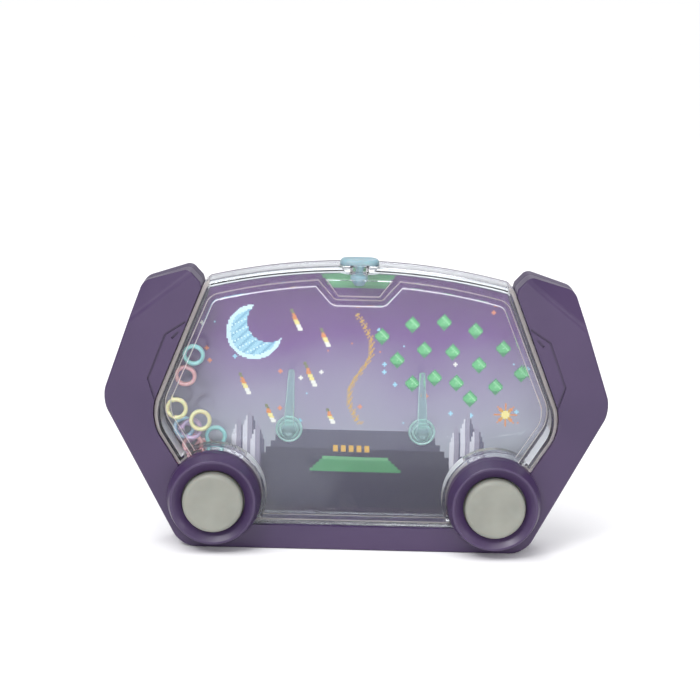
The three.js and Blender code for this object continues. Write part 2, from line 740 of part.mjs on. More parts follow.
// Wide rounded cap on a neck and a bulb
function fillerPlug() {
  const capZ = archTop - plugSeatDrop + touchGap;
  const halfWide = plugCapWide / 2;
  const halfDeep = plugCapDeep / 2;
  const rows = [
    [halfWide, halfDeep, plugCornerRound], [halfWide, -halfDeep, plugCornerRound],
    [-halfWide, -halfDeep, plugCornerRound], [-halfWide, halfDeep, plugCornerRound],
  ];
  const cap = edgedPlate(rows, 0, plugCapThick, plugCapRound, edgeSteps, 'front')
    .rotate([-90, 0, 0]).translate([0, pegMiddleY, capZ + plugCapThick]);
  const neckZ = capZ - plugNeckLong;
  const stem = upright([
    [0, neckZ - plugBulbLong], [plugBulbRadius * bulbTipShare, neckZ - plugBulbLong],
    [plugBulbRadius, neckZ - plugBulbLong / 2], [plugBulbRadius, neckZ - bulbShoulder],
    [plugNeckRadius, neckZ], [plugNeckRadius, capZ + plugCapThick / 2], [0, capZ + plugCapThick / 2],
  ], 0, pegMiddleY, spoutSteps * 2);
  return cap.add(stem);
}

// Pan-head screw that enters from the back, with a cross recess
function coverScrew(x, z) {
  const headY = seatY + touchGap;
  const tipY = headY - screwLong;
  const topY = headY + screwHeadThick;
  const body = turned([
    [0, tipY], [screwShankRadius, tipY + screwShankRadius], [screwShankRadius, headY],
    [screwHeadRadius, headY], [screwHeadRadius, topY - screwDome], [screwHeadRadius - screwDome, topY], [0, topY],
  ], x, z, bossSteps);
  const arm = screwHeadRadius * crossShare;
  const wide = screwHeadRadius * crossWideShare;
  const deep = topY - screwDome;
  return body
    .subtract(block(x - arm, x + arm, deep, topY + overrun, z - wide, z + wide))
    .subtract(block(x - wide, x + wide, deep, topY + overrun, z - arm, z + arm));
}

// Puts a named piece with its own material into the toy
function addPiece(name, solid, color, roughness, opacity = 1) {
  const material = new THREE.MeshStandardMaterial({ color, roughness, metalness: 0 });
  material.transparent = opacity < 1;
  material.opacity = opacity;
  const mesh = new THREE.Mesh(geometryOf(solid), material);
  mesh.name = name;
  toy.add(mesh);
}

const toy = new THREE.Group();
addPiece('front_casing', frontCasing(), '#54387a', 0.35);
addPiece('rear_cover', rearCover(), '#54387a', 0.35);
addPiece('tank_front', tankFront(), '#dfe8ec', 0.08, 0.3);
addPiece('tank_back', tankBack(), '#dfe8ec', 0.08, 0.3);
addPiece('filler_collar', fillerCollar(), '#dfe8ec', 0.08, 0.3);
addPiece('backdrop_card', backdropCard(), '#7a62a6', 0.6);
addPiece('filler_plug', fillerPlug(), '#8fc9dd', 0.45);
pumpSides.forEach(([word, side]) => {
  const x = side * buttonX;
  addPiece(`button_${word}`, buttonCap(x), '#a9aba0', 0.5);
  addPiece(`pump_bellows_${word}`, bellows(x), '#3b3b3d', 0.8);
  addPiece(`pump_retainer_${word}`, retainer(x), '#e4e2dc', 0.5);
  addPiece(`jet_nozzle_${word}`, nozzle(side), '#d9dcdc', 0.4);
  addPiece(`peg_${word}`, peg(side), '#8fd0c8', 0.25, 0.7);
});
screwPlaces.forEach(([x, z], i) => addPiece(`cover_screw_${i + 1}`, coverScrew(x, z), '#b9bcc0', 0.3));
tossRings.forEach(({ name, placeShares, tilt, color }) => {
  addPiece(`ring_${name}`, tossRing(placeShares, tilt), color, 0.45);
});

export default toy;
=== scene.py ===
import math
import random

import bmesh
import bpy
from mathutils import Matrix, Quaternion, Vector


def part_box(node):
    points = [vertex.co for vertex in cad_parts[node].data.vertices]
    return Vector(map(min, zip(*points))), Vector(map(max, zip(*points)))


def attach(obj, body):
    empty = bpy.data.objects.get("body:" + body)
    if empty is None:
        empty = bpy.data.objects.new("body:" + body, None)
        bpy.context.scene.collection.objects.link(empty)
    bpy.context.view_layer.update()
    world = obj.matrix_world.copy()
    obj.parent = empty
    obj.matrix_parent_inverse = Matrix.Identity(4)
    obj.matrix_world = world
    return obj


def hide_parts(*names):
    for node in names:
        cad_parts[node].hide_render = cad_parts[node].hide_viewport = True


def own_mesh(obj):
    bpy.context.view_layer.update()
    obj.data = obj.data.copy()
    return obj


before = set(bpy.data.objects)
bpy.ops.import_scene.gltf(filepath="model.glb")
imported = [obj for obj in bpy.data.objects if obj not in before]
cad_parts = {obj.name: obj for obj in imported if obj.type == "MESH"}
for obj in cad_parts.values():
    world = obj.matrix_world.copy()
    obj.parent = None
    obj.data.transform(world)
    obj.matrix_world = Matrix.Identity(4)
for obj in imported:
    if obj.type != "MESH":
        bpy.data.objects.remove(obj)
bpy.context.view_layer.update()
mm = 0.001  # lengths below are in millimetres, and the studio's are in metres
print("frame loaded")


# Colours and shader nodes

def hexColor(code):
    parts = [int(code[i:i + 2], 16) / 255 for i in (1, 3, 5)]
    return [p / 12.92 if p <= 0.04045 else ((p + 0.055) / 1.055) ** 2.4 for p in parts] + [1.0]


def addNode(tree, kind, settings=None, links=None):
    node = tree.nodes.new(kind)
    for name, value in (settings or {}).items():
        if isinstance(name, int) or name in node.inputs:
            node.inputs[name].default_value = value
        else:
            setattr(node, name, value)
    for name, source in (links or {}).items():
        tree.links.new(source, node.inputs[name])
    return node


def startMaterial(name, settings):
    material = bpy.data.materials.new(name)
    material.use_nodes = True
    tree = material.node_tree
    tree.nodes.clear()
    shader = addNode(tree, "ShaderNodeBsdfPrincipled", settings)
    addNode(tree, "ShaderNodeOutputMaterial", links={"Surface": shader.outputs["BSDF"]})
    place = addNode(tree, "ShaderNodeTexCoord").outputs["Object"]
    return material, tree, shader, place


def perSize(size):
    return 1 / (size * mm)  # noise scale that gives features of about that size


# A noise with features of some size, spread between two values; it hardly leaves its own 0.3 to 0.7
def spread(tree, place, size, low=0.0, high=1.0, detail=2.0):
    noise = addNode(tree, "ShaderNodeTexNoise", {"Scale": perSize(size), "Detail": detail},
                    {"Vector": place})
    span = {"From Min": 0.3, "From Max": 0.7, "To Min": low, "To Max": high}
    return addNode(tree, "ShaderNodeMapRange", span, {"Value": noise.outputs["Fac"]}).outputs["Result"]


# Colours a surface between two tones
def shade(tree, shader, dark, light, share):
    tone = addNode(tree, "ShaderNodeMix", {"data_type": "RGBA", 6: hexColor(dark), 7: hexColor(light)},
                   {0: share})
    tree.links.new(tone.outputs[2], shader.inputs["Base Color"])


def roughen(tree, shader, place, size, strength, height, detail=2.0):
    noise = addNode(tree, "ShaderNodeTexNoise", {"Scale": perSize(size), "Detail": detail},
                    {"Vector": place})
    bump = addNode(tree, "ShaderNodeBump", {"Strength": strength, "Distance": height * mm},
                   {"Height": noise.outputs["Fac"]})
    tree.links.new(bump.outputs["Normal"], shader.inputs["Normal"])


# Moulded plastic: two close tones in slow clouds, uneven gloss, and the mould's fine grain as bump
def mouldedPlastic(name, look):
    material, tree, shader, place = startMaterial(name, look["shader"])
    shade(tree, shader, look["dark"], look["light"], spread(tree, place, look["cloudSize"]))
    gloss = spread(tree, place, look["smearSize"], *look["roughness"], detail=4.0)
    tree.links.new(gloss, shader.inputs["Roughness"])
    roughen(tree, shader, place, look["grainSize"], look["grainStrength"], look["grainHeight"], detail=3.0)
    return material


# Polystyrene, injection moulded, dyed violet: soft gloss, faint flow clouds
violetPolystyrene = mouldedPlastic("violetPolystyrene", {
    "shader": {"IOR": 1.55, "Specular IOR Level": 0.5}, "dark": "#37264a", "light": "#402d52",
    "cloudSize": 30, "smearSize": 9, "roughness": (0.3, 0.42), "grainSize": 0.5, "grainStrength": 0.25,
    "grainHeight": 0.02})
# The cover's back is spark-textured in the mould, so it shines less
violetTextured = mouldedPlastic("violetTexturedPolystyrene", {
    "shader": {"IOR": 1.55}, "dark": "#38284b", "light": "#403053",
    "cloudSize": 30, "smearSize": 9, "roughness": (0.46, 0.58), "grainSize": 0.45, "grainStrength": 0.5,
    "grainHeight": 0.04})
# Polypropylene button caps: waxy warm grey, satin
greyPolypropylene = mouldedPlastic("greyPolypropylene", {
    "shader": {"IOR": 1.49, "Subsurface Weight": 0.1, "Subsurface Scale": 0.6 * mm}, "dark": "#83847c",
    "light": "#8d8e85", "cloudSize": 7, "smearSize": 4, "roughness": (0.4, 0.52), "grainSize": 0.35,
    "grainStrength": 0.3, "grainHeight": 0.015})
# Soft PVC plug: light blue, waxy, light goes a little way in
bluePvc = mouldedPlastic("softBluePvc", {
    "shader": {"IOR": 1.52, "Subsurface Weight": 0.35, "Subsurface Scale": 1.5 * mm}, "dark": "#7d9ea9",
    "light": "#8fadb6", "cloudSize": 5, "smearSize": 3, "roughness": (0.3, 0.42), "grainSize": 0.4,
    "grainStrength": 0.2, "grainHeight": 0.015})
# Rubber bellows: black, dull
blackRubber = mouldedPlastic("blackRubber", {
    "shader": {"IOR": 1.52}, "dark": "#1d1d1f", "light": "#2b2b2d",
    "cloudSize": 4, "smearSize": 3, "roughness": (0.65, 0.8), "grainSize": 0.4, "grainStrength": 0.4,
    "grainHeight": 0.03})
# Undyed polypropylene of the hidden pump pieces: milky white
naturalPolypropylene = mouldedPlastic("naturalPolypropylene", {
    "shader": {"IOR": 1.49, "Subsurface Weight": 0.3, "Subsurface Scale": 1 * mm}, "dark": "#d9d7cf",
    "light": "#e6e4dd", "cloudSize": 6, "smearSize": 3, "roughness": (0.4, 0.5), "grainSize": 0.4,
    "grainStrength": 0.2, "grainHeight": 0.015})


# Crystal polystyrene: see-through, with swirls of uneven polish that bend the light a little
def clearPolystyrene(name, look):
    material, tree, shader, place = startMaterial(name, {
        "Base Color": hexColor(look["tint"]), "Transmission Weight": look["clearness"], "IOR": look["ior"],
        "Specular IOR Level": look["shine"], "Roughness": look["roughness"]})
    roughen(tree, shader, place, look["swirlSize"], 0.4, look["swirlHeight"])
    return material


# Polished in the mould: water clear
clearLook = {"tint": "#f3f6f8", "clearness": 1.0, "ior": 1.36, "shine": 0.22, "roughness": 0.03,
             "swirlSize": 6, "swirlHeight": 0.02}
clearPlastic = clearPolystyrene("clearPolystyrene", clearLook)
# The rim's flat is spark-textured in the mould, which frosts it
frostedPlastic = clearPolystyrene("frostedPolystyrene", {
    **clearLook, "tint": "#eef1f3", "roughness": 0.1, "swirlSize": 0.6, "swirlHeight": 0.04})
# The pane's upper slope, the arch's top and walls that face up get a whitish, half-clear finish: a painted
# highlight that stands for the bright lines of reflected light along them
satinHighlightPlastic = clearPolystyrene("satinPolystyrenePaintedHighlight", {
    **clearLook, "tint": "#f2f2f6", "clearness": 0.5, "shine": 0.35, "roughness": 0.35,
    "swirlSize": 0.6, "swirlHeight": 0.05})
# Steep walls, the pane's slopes and line and the rim's rounded sides get a milky, warm finish on a rougher
# surface: a painted warm reflection and painted light lines
hazyReflectionPlastic = clearPolystyrene("hazyPolystyrenePaintedReflection", {
    **clearLook, "tint": "#eae2de", "clearness": 0.75, "shine": 0.3, "roughness": 0.3, "swirlSize": 3})
# Dyed a light mint, still see-through
mintLook = {"tint": "#c4e0dd", "clearness": 0.9, "ior": 1.5, "shine": 0.5, "roughness": 0.05,
            "swirlSize": 1.2, "swirlHeight": 0.03}
mintPolystyrene = clearPolystyrene("mintPolystyrene", mintLook)
# Its rings' sloped edges get a whitish, half-clear finish: a painted highlight for the bright ring lines
mintHighlightEdge = clearPolystyrene("mintPolystyrenePaintedHighlight", {
    **mintLook, "tint": "#bfe0d9", "clearness": 0.6, "shine": 0.4, "roughness": 0.3,
    "swirlSize": 0.6, "swirlHeight": 0.02})

zinc = {"cloudSize": 1.2, "warm": "#a9a89f", "cool": "#b7bcc4", "roughness": (0.26, 0.42)}


# Zinc plated steel screws: grey that clouds from a yellowish to a bluish cast, as its gloss does
def zincSteel():
    material, tree, shader, place = startMaterial("zincPlatedSteel", {"Metallic": 1.0})
    clouds = addNode(tree, "ShaderNodeTexNoise", {"Scale": perSize(zinc["cloudSize"]), "Detail": 4.0},
                     {"Vector": place})
    shade(tree, shader, zinc["warm"], zinc["cool"], clouds.outputs["Fac"])
    gloss = spread(tree, place, zinc["cloudSize"], *zinc["roughness"], detail=4.0)
    tree.links.new(gloss, shader.inputs["Roughness"])
    return material


screwSteel = zincSteel()
print("plastics and metal made")


# Solids

mergeGap = 0.001  # vertices closer than this become one
samePlace = 0.0001  # a vertex this close to a plane lies on it
past = 1  # how far a cutter reaches past what it cuts
overlap = 0.5  # how far a boss reaches into the wall that it stands on
cornerSteps, archSteps = 9, 14
sharpAngle = 32  # degrees between faces, from which their edge stays sharp
# Steps round a turned shape
plainSteps, bossSteps, screwSteps, pegSteps, footSteps, fineSteps = 64, 32, 40, 72, 96, 112


def addObject(name, data):
    added = bpy.data.objects.new(name, data)
    bpy.context.scene.collection.objects.link(added)
    return added


def pieceFrom(bm, name):
    bmesh.ops.remove_doubles(bm, verts=bm.verts, dist=mergeGap * mm)
    bmesh.ops.recalc_face_normals(bm, faces=bm.faces)
    mesh = bpy.data.meshes.new(name)
    bm.to_mesh(mesh)
    bm.free()
    return addObject(name, mesh)


# Moves every edge of a clockwise outline of [x, z, radius] rows out by a distance, or in if negative
def offsetRows(rows, distance):
    moved = []
    for i, (x, z, radius) in enumerate(rows):
        here = Vector((x, z))
        before = (here - Vector(rows[i - 1][:2])).normalized()
        after = (Vector(rows[(i + 1) % len(rows)][:2]) - here).normalized()
        outBefore = Vector((-before.y, before.x))
        outAfter = Vector((-after.y, after.x))
        bisector = (outBefore + outAfter).normalized()
        corner = here + bisector * distance / bisector.dot(outAfter)
        grown = radius + distance if before.cross(after) < 0 else radius - distance
        moved.append([corner.x, corner.y, max(grown, 0) if radius else 0])
    return moved


def mirrored(rows):
    return rows + [[-x, z, radius] for x, z, radius in reversed(rows) if x > 0]


def archRows(fromX, toX, top, radius, endRound=0):
    places = [fromX + (toX - fromX) * k / archSteps for k in range(archSteps + 1)]
    return [[x, top - radius + math.sqrt(radius * radius - x * x), endRound if x == places[-1] else 0]
            for x in places]


# Rounds the corners of an outline or profile, whose rows each end with their rounding
def roundCorners(bm, corners, rows, steps):
    for i, corner in enumerate(corners):
        rounding = rows[i][2]
        if not rounding:
            continue
        here = Vector(rows[i][:2])
        back = (Vector(rows[i - 1][:2]) - here).normalized()
        ahead = (Vector(rows[(i + 1) % len(rows)][:2]) - here).normalized()
        reach = rounding / math.tan(back.angle(ahead) / 2)
        bmesh.ops.bevel(bm, geom=[corner], offset=reach * mm, offset_type="OFFSET", segments=steps,
                        profile=0.5, affect="VERTICES", material=-1)


def thicken(bm, thick):
    extruded = bmesh.ops.extrude_face_region(bm, geom=bm.faces[:])
    moved = [v for v in extruded["geom"] if isinstance(v, bmesh.types.BMVert)]
    bmesh.ops.translate(bm, verts=moved, vec=(0, thick * mm, 0))


# A plate with a rounded X-Z outline; its front or back rim can be rounded too
def plate(name, rows, fromY, toY, frontRound=0, backRound=0, rimSteps=5):
    bm = bmesh.new()
    corners = [bm.verts.new((x * mm, fromY * mm, z * mm)) for x, z, radius in rows]
    bm.faces.new(corners)
    roundCorners(bm, corners, rows, cornerSteps)
    thicken(bm, toY - fromY)
    for radius, y in ((frontRound, fromY), (backRound, toY)):
        if radius:
            rim = [e for e in bm.edges if all(abs(v.co.y - y * mm) < samePlace * mm for v in e.verts)]
            bmesh.ops.bevel(bm, geom=rim, offset=radius * mm, offset_type="OFFSET", segments=rimSteps,
                            profile=0.5, affect="EDGES", material=-1)
    return pieceFrom(bm, name)


def block(name, fromX, toX, fromY, toY, fromZ, toZ):
    bm = bmesh.new()
    bmesh.ops.create_cube(bm, size=1.0)
    bmesh.ops.scale(bm, verts=bm.verts, vec=((toX - fromX) * mm, (toY - fromY) * mm, (toZ - fromZ) * mm))
    bmesh.ops.translate(bm, verts=bm.verts,
                        vec=((fromX + toX) / 2 * mm, (fromY + toY) / 2 * mm, (fromZ + toZ) / 2 * mm))
    return pieceFrom(bm, name)


# Spins a profile of [radius, along, edge rounding] rows about an axis through a place.
# A profile that doesn't start and end on the axis is closed on itself.
def turned(name, profile, place, axis=(0, 1, 0), steps=plainSteps, roundSteps=4):
    bm = bmesh.new()
    along = Vector(axis).normalized()
    outward = along.orthogonal().normalized()
    centre = Vector(place) * mm
    verts = [bm.verts.new(centre + outward * radius * mm + along * at * mm)
             for radius, at, rounding in profile]
    for pair in zip(verts, verts[1:]):
        bm.edges.new(pair)
    if profile[0][0] or profile[-1][0]:
        bm.edges.new((verts[-1], verts[0]))
    roundCorners(bm, verts, profile, roundSteps)
    bmesh.ops.spin(bm, geom=bm.verts[:] + bm.edges[:], cent=centre, axis=along, angle=2 * math.pi,
                   steps=steps, use_merge=True)
    bmesh.ops.dissolve_degenerate(bm, edges=bm.edges, dist=mergeGap / 2 * mm)
    return pieceFrom(bm, name)


def shifted(profile, distance):
    return [[radius, at + distance, rounding] for radius, at, rounding in profile]


def disc(name, radius, fromY, toY, x, z, steps=plainSteps):
    profile = [[0, fromY, 0], [radius, fromY, 0], [radius, toY, 0], [0, toY, 0]]
    return turned(name, profile, (x, 0, z), steps=steps)


# Makes one piece of several, which it uses up
def combine(piece, operation, others):
    for other in others:
        step = piece.modifiers.new(operation.lower(), "BOOLEAN")
        step.operation = operation
        step.solver = "EXACT"
        step.object = other
    done = bpy.data.meshes.new_from_object(piece.evaluated_get(bpy.context.evaluated_depsgraph_get()))
    piece.modifiers.clear()
    piece.data = done
    for other in others:
        bpy.data.objects.remove(other)


def cut(piece, *cutters):
    combine(piece, "DIFFERENCE", cutters)


def join(piece, *others):
    combine(piece, "UNION", others)


def keepInside(piece, *shapes):
    combine(piece, "INTERSECT", shapes)


# Its finishes, smooth shading with sharp corners and flat faces kept flat, its body and what it stands for
def dress(piece, body, slot, nodes, *materials):
    mesh = piece.data
    mesh.materials.clear()
    for material in materials:
        mesh.materials.append(material)
    mesh.shade_smooth()
    mesh.set_sharp_from_angle(angle=math.radians(sharpAngle))
    flat = piece.modifiers.new("flat faces", "WEIGHTED_NORMAL")
    flat.keep_sharp = True
    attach(piece, body)
    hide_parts(*nodes)


# Sizes that several pieces share
toy = {"wall": 2.0, "gap": 0.3, "slide": 0.4, "frontY": -13.7, "backY": 13.7, "wingY": -4.2, "rimY": -5.1,
       "partingY": 4.0, "weldY": 5.4, "tankBackY": 9.4, "waterFrontY": -3.6, "waterBackY": 7.9,
       "archTop": 91.0, "archRadius": 196.0, "cardThick": 0.4}
wall, gap, archTop = toy["wall"], toy["gap"], toy["archTop"]
pump = {"x": 43.95, "z": 16.9, "collar": 14.7, "wellY": 1.0, "wellWall": 1.2, "wellFloor": 1.6, "foot": 13.5,
        "port": 2.9, "portY": (0, 4)}
sides = (("left", -1), ("right", 1))

# Corners are [x, z, rounding]
casing = {"inner": [49.0, 84.9, 0], "peak": [52.6, 88.8, 2.6], "shoulder": [67.2, 84.0, 4],
          "widest": [79.6, 47.5, 10], "foot": [54.5, 0, 8], "drop": 4, "edgeRound": 2.2, "faceRound": 0.7}
casingRows = mirrored(
    archRows(0, casing["inner"][0] - casing["edgeRound"] / 2, archTop - casing["drop"],
             toy["archRadius"] - casing["drop"])
    + [casing[corner] for corner in ("inner", "peak", "shoulder", "widest", "foot")])
casingHalf = casing["widest"][0]
insideRows = offsetRows(casingRows, -wall)

tank = {"topHalf": 47.6, "topRound": 3, "bend": [64.8, 41.8, 13.5], "foot": [43.6, 8, 4], "rimRound": 1.8,
        "backRound": 1, "paneRise": 1, "flangeOut": 1.6, "flangeThick": 1.5, "flangeTopZ": 72}
tankRows = mirrored(archRows(0, tank["topHalf"], archTop, toy["archRadius"], tank["topRound"])
                    + [tank["bend"], tank["foot"]])

screwPlaces = [(sx * x, z) for x, z in ((58.5, 78.5), (70.8, 46), (15, 4.1)) for sx in (1, -1)]
# The profile is [radius, y, rounding] from the head's foot
screw = {"head": 2.3, "shank": 1.15, "sink": 2.4, "boss": 3, "bossRoom": 1, "top": 1.6, "slotY": 0.76,
         "slotHalf": 1.38, "slotHalfWide": 0.368, "profile": (
             (0, -11, 0), (1.15, -9.85, 0), (1.15, 0, 0), (2.3, 0, 0.1), (2.3, 1, 0.3), (1.265, 1.6, 0.6),
             (0, 1.6, 0))}


def pumpDisc(name, radius, fromY, toY, side, steps=plainSteps):
    return disc(name, radius, fromY, toY, side * pump["x"], pump["z"], steps)


def screwDiscs(name, radius, fromY, toY):
    return [disc(name, radius, fromY, toY, x, z, bossSteps) for x, z in screwPlaces]


# What must stay clear for the tank and its pump feet, between two depths
def tankRoom(fromY, toY):
    room = plate("room", offsetRows(tankRows, gap), fromY, toY)
    start = max(fromY, pump["wellY"] - gap)
    if toY > start:
        join(room, *[pumpDisc("foot", pump["foot"] + gap, start, toY, side) for word, side in sides])
    return room


# The flange along the tank's weld, or the room for it; it stops below the arch
def flangePlate(fromY, toY, room=0):
    flange = plate("flange", offsetRows(tankRows, tank["flangeOut"] + room), fromY, toY)
    cut(flange, block("top", -casingHalf, casingHalf, 0, toy["backY"], tank["flangeTopZ"] + room,
                      2 * archTop))
    return flange


# Casing halves

# The collar round a button: outer flank, bright ridge, dish, lip and skirt
collar = {"ridge": 13.4, "ridgeWide": 0.7, "ridgeY": -12.6, "kneeY": -7.6, "dishY": -10.6, "lipThick": 1.6,
          "bore": 9.85, "kneeRound": 1.2, "ridgeRound": 0.35, "boreRound": 0.4}


def collarRing(side):
    outer, skirtY, bore = pump["collar"], pump["wellY"] - gap, collar["bore"]
    lipY = collar["dishY"] + collar["lipThick"]
    return turned("collar", [
        [outer, skirtY, 0], [outer - wall, skirtY, 0], [outer - wall, lipY, 0], [bore, lipY, 0],
        [bore, collar["dishY"], collar["boreRound"]],
        [collar["ridge"] - collar["ridgeWide"], collar["ridgeY"], collar["ridgeRound"]],
        [collar["ridge"], collar["ridgeY"], collar["ridgeRound"]],
        [outer, collar["kneeY"], collar["kneeRound"]]], (side * pump["x"], 0, pump["z"]), steps=fineSteps)


# Thin lines cut in each wing, as shares of the widest corner's X and the casing's height
groove = {"wide": 0.7, "deep": 0.6, "lineShares": (
    ((0.672, 0.815), (0.749, 0.77), (0.816, 0.611), (0.788, 0.532)), ((0.7, 0.778), (0.724, 0.755)))}


def grooveCutter(line, side):
    path = [Vector((side * out * casingHalf, up * casing["peak"][1])) for out, up in line]
    left, right = [], []
    for i, point in enumerate(path):
        along = (path[min(i + 1, len(path) - 1)] - path[max(i - 1, 0)]).normalized()
        across = Vector((-along.y, along.x)) * groove["wide"] / 2
        left.append([*(point + across), 0])
        right.append([*(point - across), 0])
    return plate("groove", left + right[::-1], toy["wingY"] - past, toy["wingY"] + groove["deep"])


# Each wing's top corner slopes back from a crease, which a few planes round
facet = {"top": (51.4, 88.1), "foot": (71.1, 72.6), "deep": 5.5, "round": 1.5, "steps": 4}


def facetCutters(side, back=0, steps=1):
    top = Vector(facet["top"])
    along = Vector(facet["foot"]) - top
    turn = math.atan2(-along.y, along.x)
    out = Vector((math.sin(turn), math.cos(turn)))
    full = math.atan2(facet["deep"], out.dot(Vector(casing["shoulder"][:2]) - top))
    cutters = []
    for step in range(1, steps + 1):
        slope = full * step / steps
        start = top + out * facet["round"] * (math.tan(slope / 2) / math.tan(full / 2) - 1)
        cutter = block("facet", -along.length, 2 * along.length, -along.length, 0, -past, along.length)
        tilt = (Quaternion((0, 1, 0), turn) @ Quaternion((1, 0, 0), -slope)).to_matrix().to_4x4()
        moved = Matrix.Translation(Vector((start.x, toy["wingY"] + back, start.y)) * mm) @ tilt
        cutter.data.transform(Matrix.Scale(side, 4, (1, 0, 0)) @ moved)
        if side < 0:
            cutter.data.flip_normals()
        cutters.append(cutter)
    return cutters


def frontCasing():
    wingY, parting, weldY = toy["wingY"], toy["partingY"], toy["weldY"]
    innerY = wingY + wall
    cradle = offsetRows(tankRows, gap + wall)
    shell = plate("front_shell", casingRows, wingY, parting, frontRound=casing["faceRound"])
    hollow = plate("hollow", insideRows, innerY, parting + past)
    for word, side in sides:
        cut(shell, *facetCutters(side, steps=facet["steps"]))
        cut(hollow, *facetCutters(side, wall))
    cut(hollow, plate("cradle", cradle, innerY - past, parting + 2 * past))
    tongue = plate("tongue", cradle, parting - past, weldY)
    inside = plate("inside", offsetRows(casingRows, -wall - gap), parting - 2 * past, weldY + past)
    keepInside(tongue, inside)
    cut(tongue, *screwDiscs("boss", screw["boss"] + screw["bossRoom"], parting, weldY + past))
    cut(shell, hollow)
    join(shell, tongue, *screwDiscs("boss", screw["boss"], innerY - overlap, parting))
    cut(shell, tankRoom(wingY - past, weldY + past))
    for word, side in sides:
        cut(shell, pumpDisc("chamber", pump["collar"] - wall, wingY - past, weldY + past, side, fineSteps))
        join(shell, collarRing(side))
        cut(shell, *[grooveCutter(line, side) for line in groove["lineShares"]])
    cut(shell, *screwDiscs("hole", screw["shank"] + gap, innerY + past, parting + past))
    dress(shell, "housing", "casing_violet", ["front_casing"], violetPolystyrene)


frontCasing()
print("front casing built")

cover = {"ribThick": 1.4, "ribX": 30, "ribHeightShares": (0.24, 0.7)}


def rearCover():
    fromY, backY = toy["partingY"] + gap, toy["backY"]
    innerY = backY - wall
    ribY = toy["tankBackY"] + 2 * gap + toy["cardThick"]
    ribBack, half = innerY + gap, cover["ribThick"] / 2
    shell = plate("rear_shell", casingRows, fromY, backY, backRound=casing["edgeRound"])
    cut(shell, plate("hollow", insideRows, fromY - past, innerY))
    ribs = [block("rib", -casingHalf, casingHalf, ribY, ribBack, z - half, z + half)
            for z in (share * archTop for share in cover["ribHeightShares"])]
    ribs += [block("rib", x - half, x + half, ribY, ribBack, 0, archTop - 2 * casing["drop"])
             for x in (-cover["ribX"], 0, cover["ribX"])]
    join(*ribs)
    keepInside(ribs[0], plate("room", offsetRows(tankRows, -wall), ribY, ribBack))
    join(shell, ribs[0], *screwDiscs("boss", screw["boss"], fromY, innerY + overlap))
    room = tankRoom(fromY - past, ribY)
    cut(shell, room, flangePlate(fromY - past, toy["weldY"] + gap + tank["flangeThick"] + gap, gap))
    holes = screwDiscs("hole", screw["shank"] + gap, fromY - past, backY + past)
    seats = screwDiscs("seat", screw["head"] + gap, backY - screw["sink"], backY + past)
    for hole, seat in zip(holes, seats):
        cut(shell, hole, seat)
    dress(shell, "housing", "casing_violet", ["rear_cover"], violetTextured)


rearCover()
print("rear cover built")


# Clear tank

pane = {"top": 85.5, "topRadius": 178, "topHalf": 44.8, "topRound": 3, "bend": [59, 45.4, 8],
        "foot": [37.8, 11.6, 3], "notchTopHalf": 13.2, "notchFoot": [8.0, 79.1, 3.2],
        "step": [[0, 86.8, 0], [10.4, 86.8, 0], [6.4, 81.5, 0.8], [0, 81.5, 0]], "stepDeep": 0.5,
        "stepSlope": 0.35, "chamfer": 0.95, "lineOut": 1.3, "lineWide": 0.4, "lineDeep": 0.15}
paneRows = mirrored(
    [[0, pane["notchFoot"][1], 0], pane["notchFoot"]]
    + archRows(pane["notchTopHalf"], pane["topHalf"], pane["top"], pane["topRadius"], pane["topRound"])
    + [pane["bend"], pane["foot"]])
# The stem's profile is [radius, z, rounding] from the cap's foot
plug = {"capHalfWide": 6.1, "capHalfDeep": 4, "capThick": 1.9, "capRound": 1.3, "footRound": 0.2,
        "cornerRound": 3.8, "bulb": 2.7, "seatDrop": 0.6, "collarDrop": 1, "collarRound": 0.4, "y": 2.15,
        "roomHalf": 10, "roomZ": (80, 100), "stem": (
            (0, -6.7, 0), (1.35, -6.7, 0.5), (2.7, -4.8, 0.8), (2.7, -3.6, 0.4), (1.65, -2.9, 0.2),
            (1.65, 0.95, 0), (0, 0.95, 0))}


# The water space before or behind the weld, which goes round each pump's well and into its foot
def waterSpace(fromY, toY):
    space = plate("water", offsetRows(tankRows, -wall), fromY, toY)
    floorBack = pump["wellY"] + pump["wellFloor"]
    for word, side in sides:
        if fromY < floorBack:
            well = pump["collar"] + gap + pump["wellWall"]
            cut(space, pumpDisc("well", well, fromY - past, floorBack, side, footSteps))
        join(space, pumpDisc("foot", pump["foot"] - wall, max(fromY, floorBack), toY, side, footSteps))
    return space


# A flat block with the plug cap's outline, this much larger all round
def capBlock(name, grow, fromZ, toZ, topRound=0, footRound=0):
    halfWide, halfDeep = plug["capHalfWide"] + grow, plug["capHalfDeep"] + grow
    rows = [[x, z, plug["cornerRound"] + grow] for x, z in (
        (-halfWide, halfDeep), (halfWide, halfDeep), (halfWide, -halfDeep), (-halfWide, -halfDeep))]
    piece = plate(name, rows, 0, toZ - fromZ, frontRound=topRound, backRound=footRound)
    upright = Quaternion((1, 0, 0), -math.pi / 2).to_matrix().to_4x4()
    piece.data.transform(Matrix.Translation((0, plug["y"] * mm, toZ * mm)) @ upright)
    return piece


def capSeat():
    return capBlock("seat", toy["slide"], archTop - plug["seatDrop"], archTop + past)
